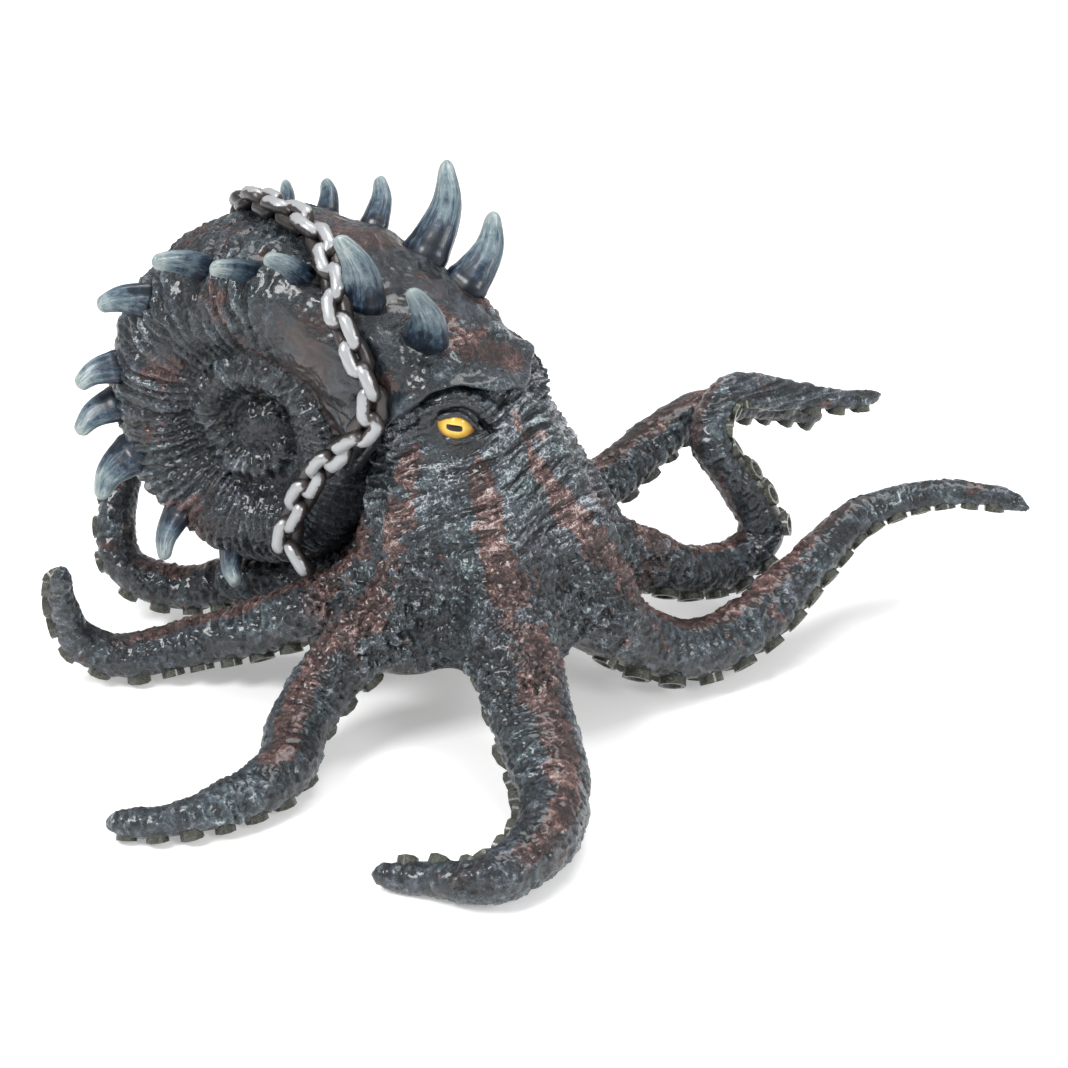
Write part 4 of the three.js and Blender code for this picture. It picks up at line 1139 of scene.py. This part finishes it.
# Where it lies on the shell, in degrees back and round the whorl, and then the points it hangs through
CHAIN_OVER = [(106, 100), (103, 78), (99, 55), (92, 32), (83, 13), (73, -2), (62, -13), (50, -26),
              (40, -42), (30.5, -58), (22.5, -69), (13.8, -77.5), (7, -87)]
CHAIN_HANG = [(-13, -23, 70), (-19, -22.2, 63.5), (-25.5, -21, 57), (-30, -20.2, 50.5),
              (-33, -20, 44.5), (-34.4, -20.4, 39), (-32, -20.6, 34.6)]
CHAIN_LIFT = 2.2                # its middle line over the shell
CHAIN_STEPS = 800
LINK_PITCH, LINK_WIRE, LINK_WIDTH, LINK_OVERLAP = 5.3, 1.6, 7.0, 1.2    # the wire by its radius
LINK_LEAN = 42                  # degrees to the left or right


def model_link():
    """One oval link lying flat, its long side along x, in millimetres."""
    bend = LINK_WIDTH / 2 - LINK_WIRE
    straight = (LINK_PITCH + 2 * LINK_WIRE + LINK_OVERLAP) / 2 - bend - LINK_WIRE
    bpy.ops.mesh.primitive_torus_add(major_segments=24, minor_segments=12, location=(0, 0, 0),
                                     major_radius=bend, minor_radius=LINK_WIRE)
    shape, faces = as_pattern(bpy.context.active_object)
    shape[:, 0] += np.sign(np.round(shape[:, 0], 4)) * straight
    return shape, faces


bpy.ops.object.select_all(action="DESELECT")
link_points, link_faces = model_link()
over = [coil_point(back, around, CHAIN_LIFT).tolist() for back, around in CHAIN_OVER]
route, route_length = smooth_line(over + CHAIN_HANG, CHAIN_STEPS + 1)
route_way = unit(np.gradient(route, axis=0))
count = int(route_length / LINK_PITCH)
points, faces, facing, middles = [], [], [], []
for i in range(count + 1):
    step = round(i / count * CHAIN_STEPS)
    at, way = route[step], route_way[step]
    angle = math.atan2(at[2] - COIL_MIDDLE[1], at[0] - COIL_MIDDLE[0])
    back = (math.degrees(angle) - LIP_TURN) % 360
    reach = np.interp(back, COIL_ROWS[:, 0], COIL_ROWS[:, 1]) * WHORL_CENTRE
    out = at - (COIL_MIDDLE[0] + reach * math.cos(angle), 0, COIL_MIDDLE[1] + reach * math.sin(angle))
    out = unit(out - (out @ way) * way)
    across = np.cross(out, way)
    chance = scattered(np.array([[i, 5, 9]]), 71)[0] - 0.5
    tilt = math.radians(LINK_LEAN if i % 2 == 0 else -LINK_LEAN) + chance[0] * 0.5
    flat = math.cos(tilt) * across + math.sin(tilt) * out
    edge = math.cos(tilt) * out - math.sin(tilt) * across
    swing = unit(way + across * chance[1] * 0.3)
    shape = at + link_points[:, :1] * swing + link_points[:, 1:2] * flat + link_points[:, 2:] * edge
    lumps = swells(shape, 1.9, 72)
    faces += [[v + len(points) * len(link_points) for v in face] for face in link_faces]
    points.append(shape + unit(shape - at) * 0.2 * lumps[:, None])
    middles.append(np.broadcast_to(points[-1].mean(0), shape.shape))
    facing.append(np.broadcast_to(out, shape.shape))
points, middles, facing = np.vstack(points), np.vstack(middles), np.vstack(facing)
chain = new_mesh("chain_links", placed(points), faces)
rounded(chain)
tops = (vectors_of(chain, "normal") * facing).sum(axis=1)
rises = ((points - middles) * facing).sum(axis=1)
noted(chain, silver=0.6 * tops + 0.25 * rises)
chain_paint, tree, surface = new_finish("chain_silver", Coat_Weight=0.2, Coat_Roughness=0.2)
worn = centred(tree, speckle(tree, 460, 5.0), 0.9)
bright = sums(tree, reading(tree, "silver"), "ADD", worn)
colour = ramp(tree, bright, [(0.1, (0.010, 0.008, 0.008)), (0.88, (0.045, 0.036, 0.034)),
                             (0.91, (0.16, 0.16, 0.165)), (0.95, (0.28, 0.285, 0.295)),
                             (1, (0.37, 0.38, 0.39))])
varnished(tree, surface, colour, worn, depth=0.0002)
tree.links.new(mapped(tree, bright, 0.88, 0.96, 0.0, 0.3), surface.inputs["Metallic"])
chain.data.materials.append(chain_paint)
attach(chain, "root")
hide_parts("chain")


# Stage: a pale sheet of paper under soft studio lamps, seen from the photograph's place.

CAMERA_AT = (320.06, -576.01, 360.04)       # in millimetres on the sculpt
CAMERA_TARGET = (3.59, 19.18, 31.26)
CAMERA_LENS = 116.3                         # on a sensor 36 wide
PAPER_GLOW = 0.32                           # what the paper adds of itself, as a lit backdrop does

paper, tree, surface = new_finish("paper", Roughness=0.9)
rays = tree.nodes.new("ShaderNodeLightPath")
seen = sums(tree, sums(tree, rays.outputs["Is Camera Ray"], "ADD", rays.outputs["Is Glossy Ray"]), "ADD",
            rays.outputs["Is Transmission Ray"], True)
surface.inputs["Base Color"].default_value = (0.82, 0.82, 0.82, 1)
surface.inputs["Emission Color"].default_value = (1, 1, 1, 1)
tree.links.new(sums(tree, seen, "MULTIPLY", PAPER_GLOW), surface.inputs["Emission Strength"])
bpy.ops.object.select_all(action="DESELECT")
bpy.ops.mesh.primitive_plane_add(size=6, location=(0, 0, -0.0002))
floor = bpy.context.active_object
floor.name = "paper_floor"
floor.data.materials.append(paper)

world = bpy.data.worlds.new("studio")
world.use_nodes = True
bpy.context.scene.world = world
sky = world.node_tree
rays = sky.nodes.new("ShaderNodeLightPath")
seen = sums(sky, rays.outputs["Is Camera Ray"], "ADD", rays.outputs["Is Transmission Ray"])
seen = sums(sky, seen, "MULTIPLY", 0.5)
sky.links.new(sums(sky, seen, "ADD", 0.5), sky.nodes["Background"].inputs["Strength"])
sky.nodes["Background"].inputs["Color"].default_value = (1, 1, 1, 1)

for name, spot, size, power in (("key_lamp", (-0.35, -0.75, 0.85), 0.45, 10.5),
                                ("fill_lamp", (0.85, -0.35, 0.55), 0.35, 4.2),
                                ("top_lamp", (0.05, 0.25, 1.0), 0.6, 6.0)):
    light = bpy.data.lights.new(name, "AREA")
    light.shape = "DISK"
    light.size = size
    light.energy = power
    lamp = bpy.data.objects.new(name, light)
    lamp.location = spot
    lamp.rotation_euler = (Vector((0, 0, 0.04)) - Vector(spot)).to_track_quat("-Z", "Y").to_euler()
    bpy.context.scene.collection.objects.link(lamp)

camera_data = bpy.data.cameras.new("camera")
camera_data.lens = CAMERA_LENS
camera_data.sensor_width = 36
camera = bpy.data.objects.new("camera", camera_data)
camera.location = placed(CAMERA_AT)
aim_at = Vector(placed(CAMERA_TARGET)) - camera.location
camera.rotation_euler = aim_at.to_track_quat("-Z", "Y").to_euler()
bpy.context.scene.collection.objects.link(camera)
bpy.context.scene.camera = camera
bpy.context.scene.view_settings.view_transform = "Standard"
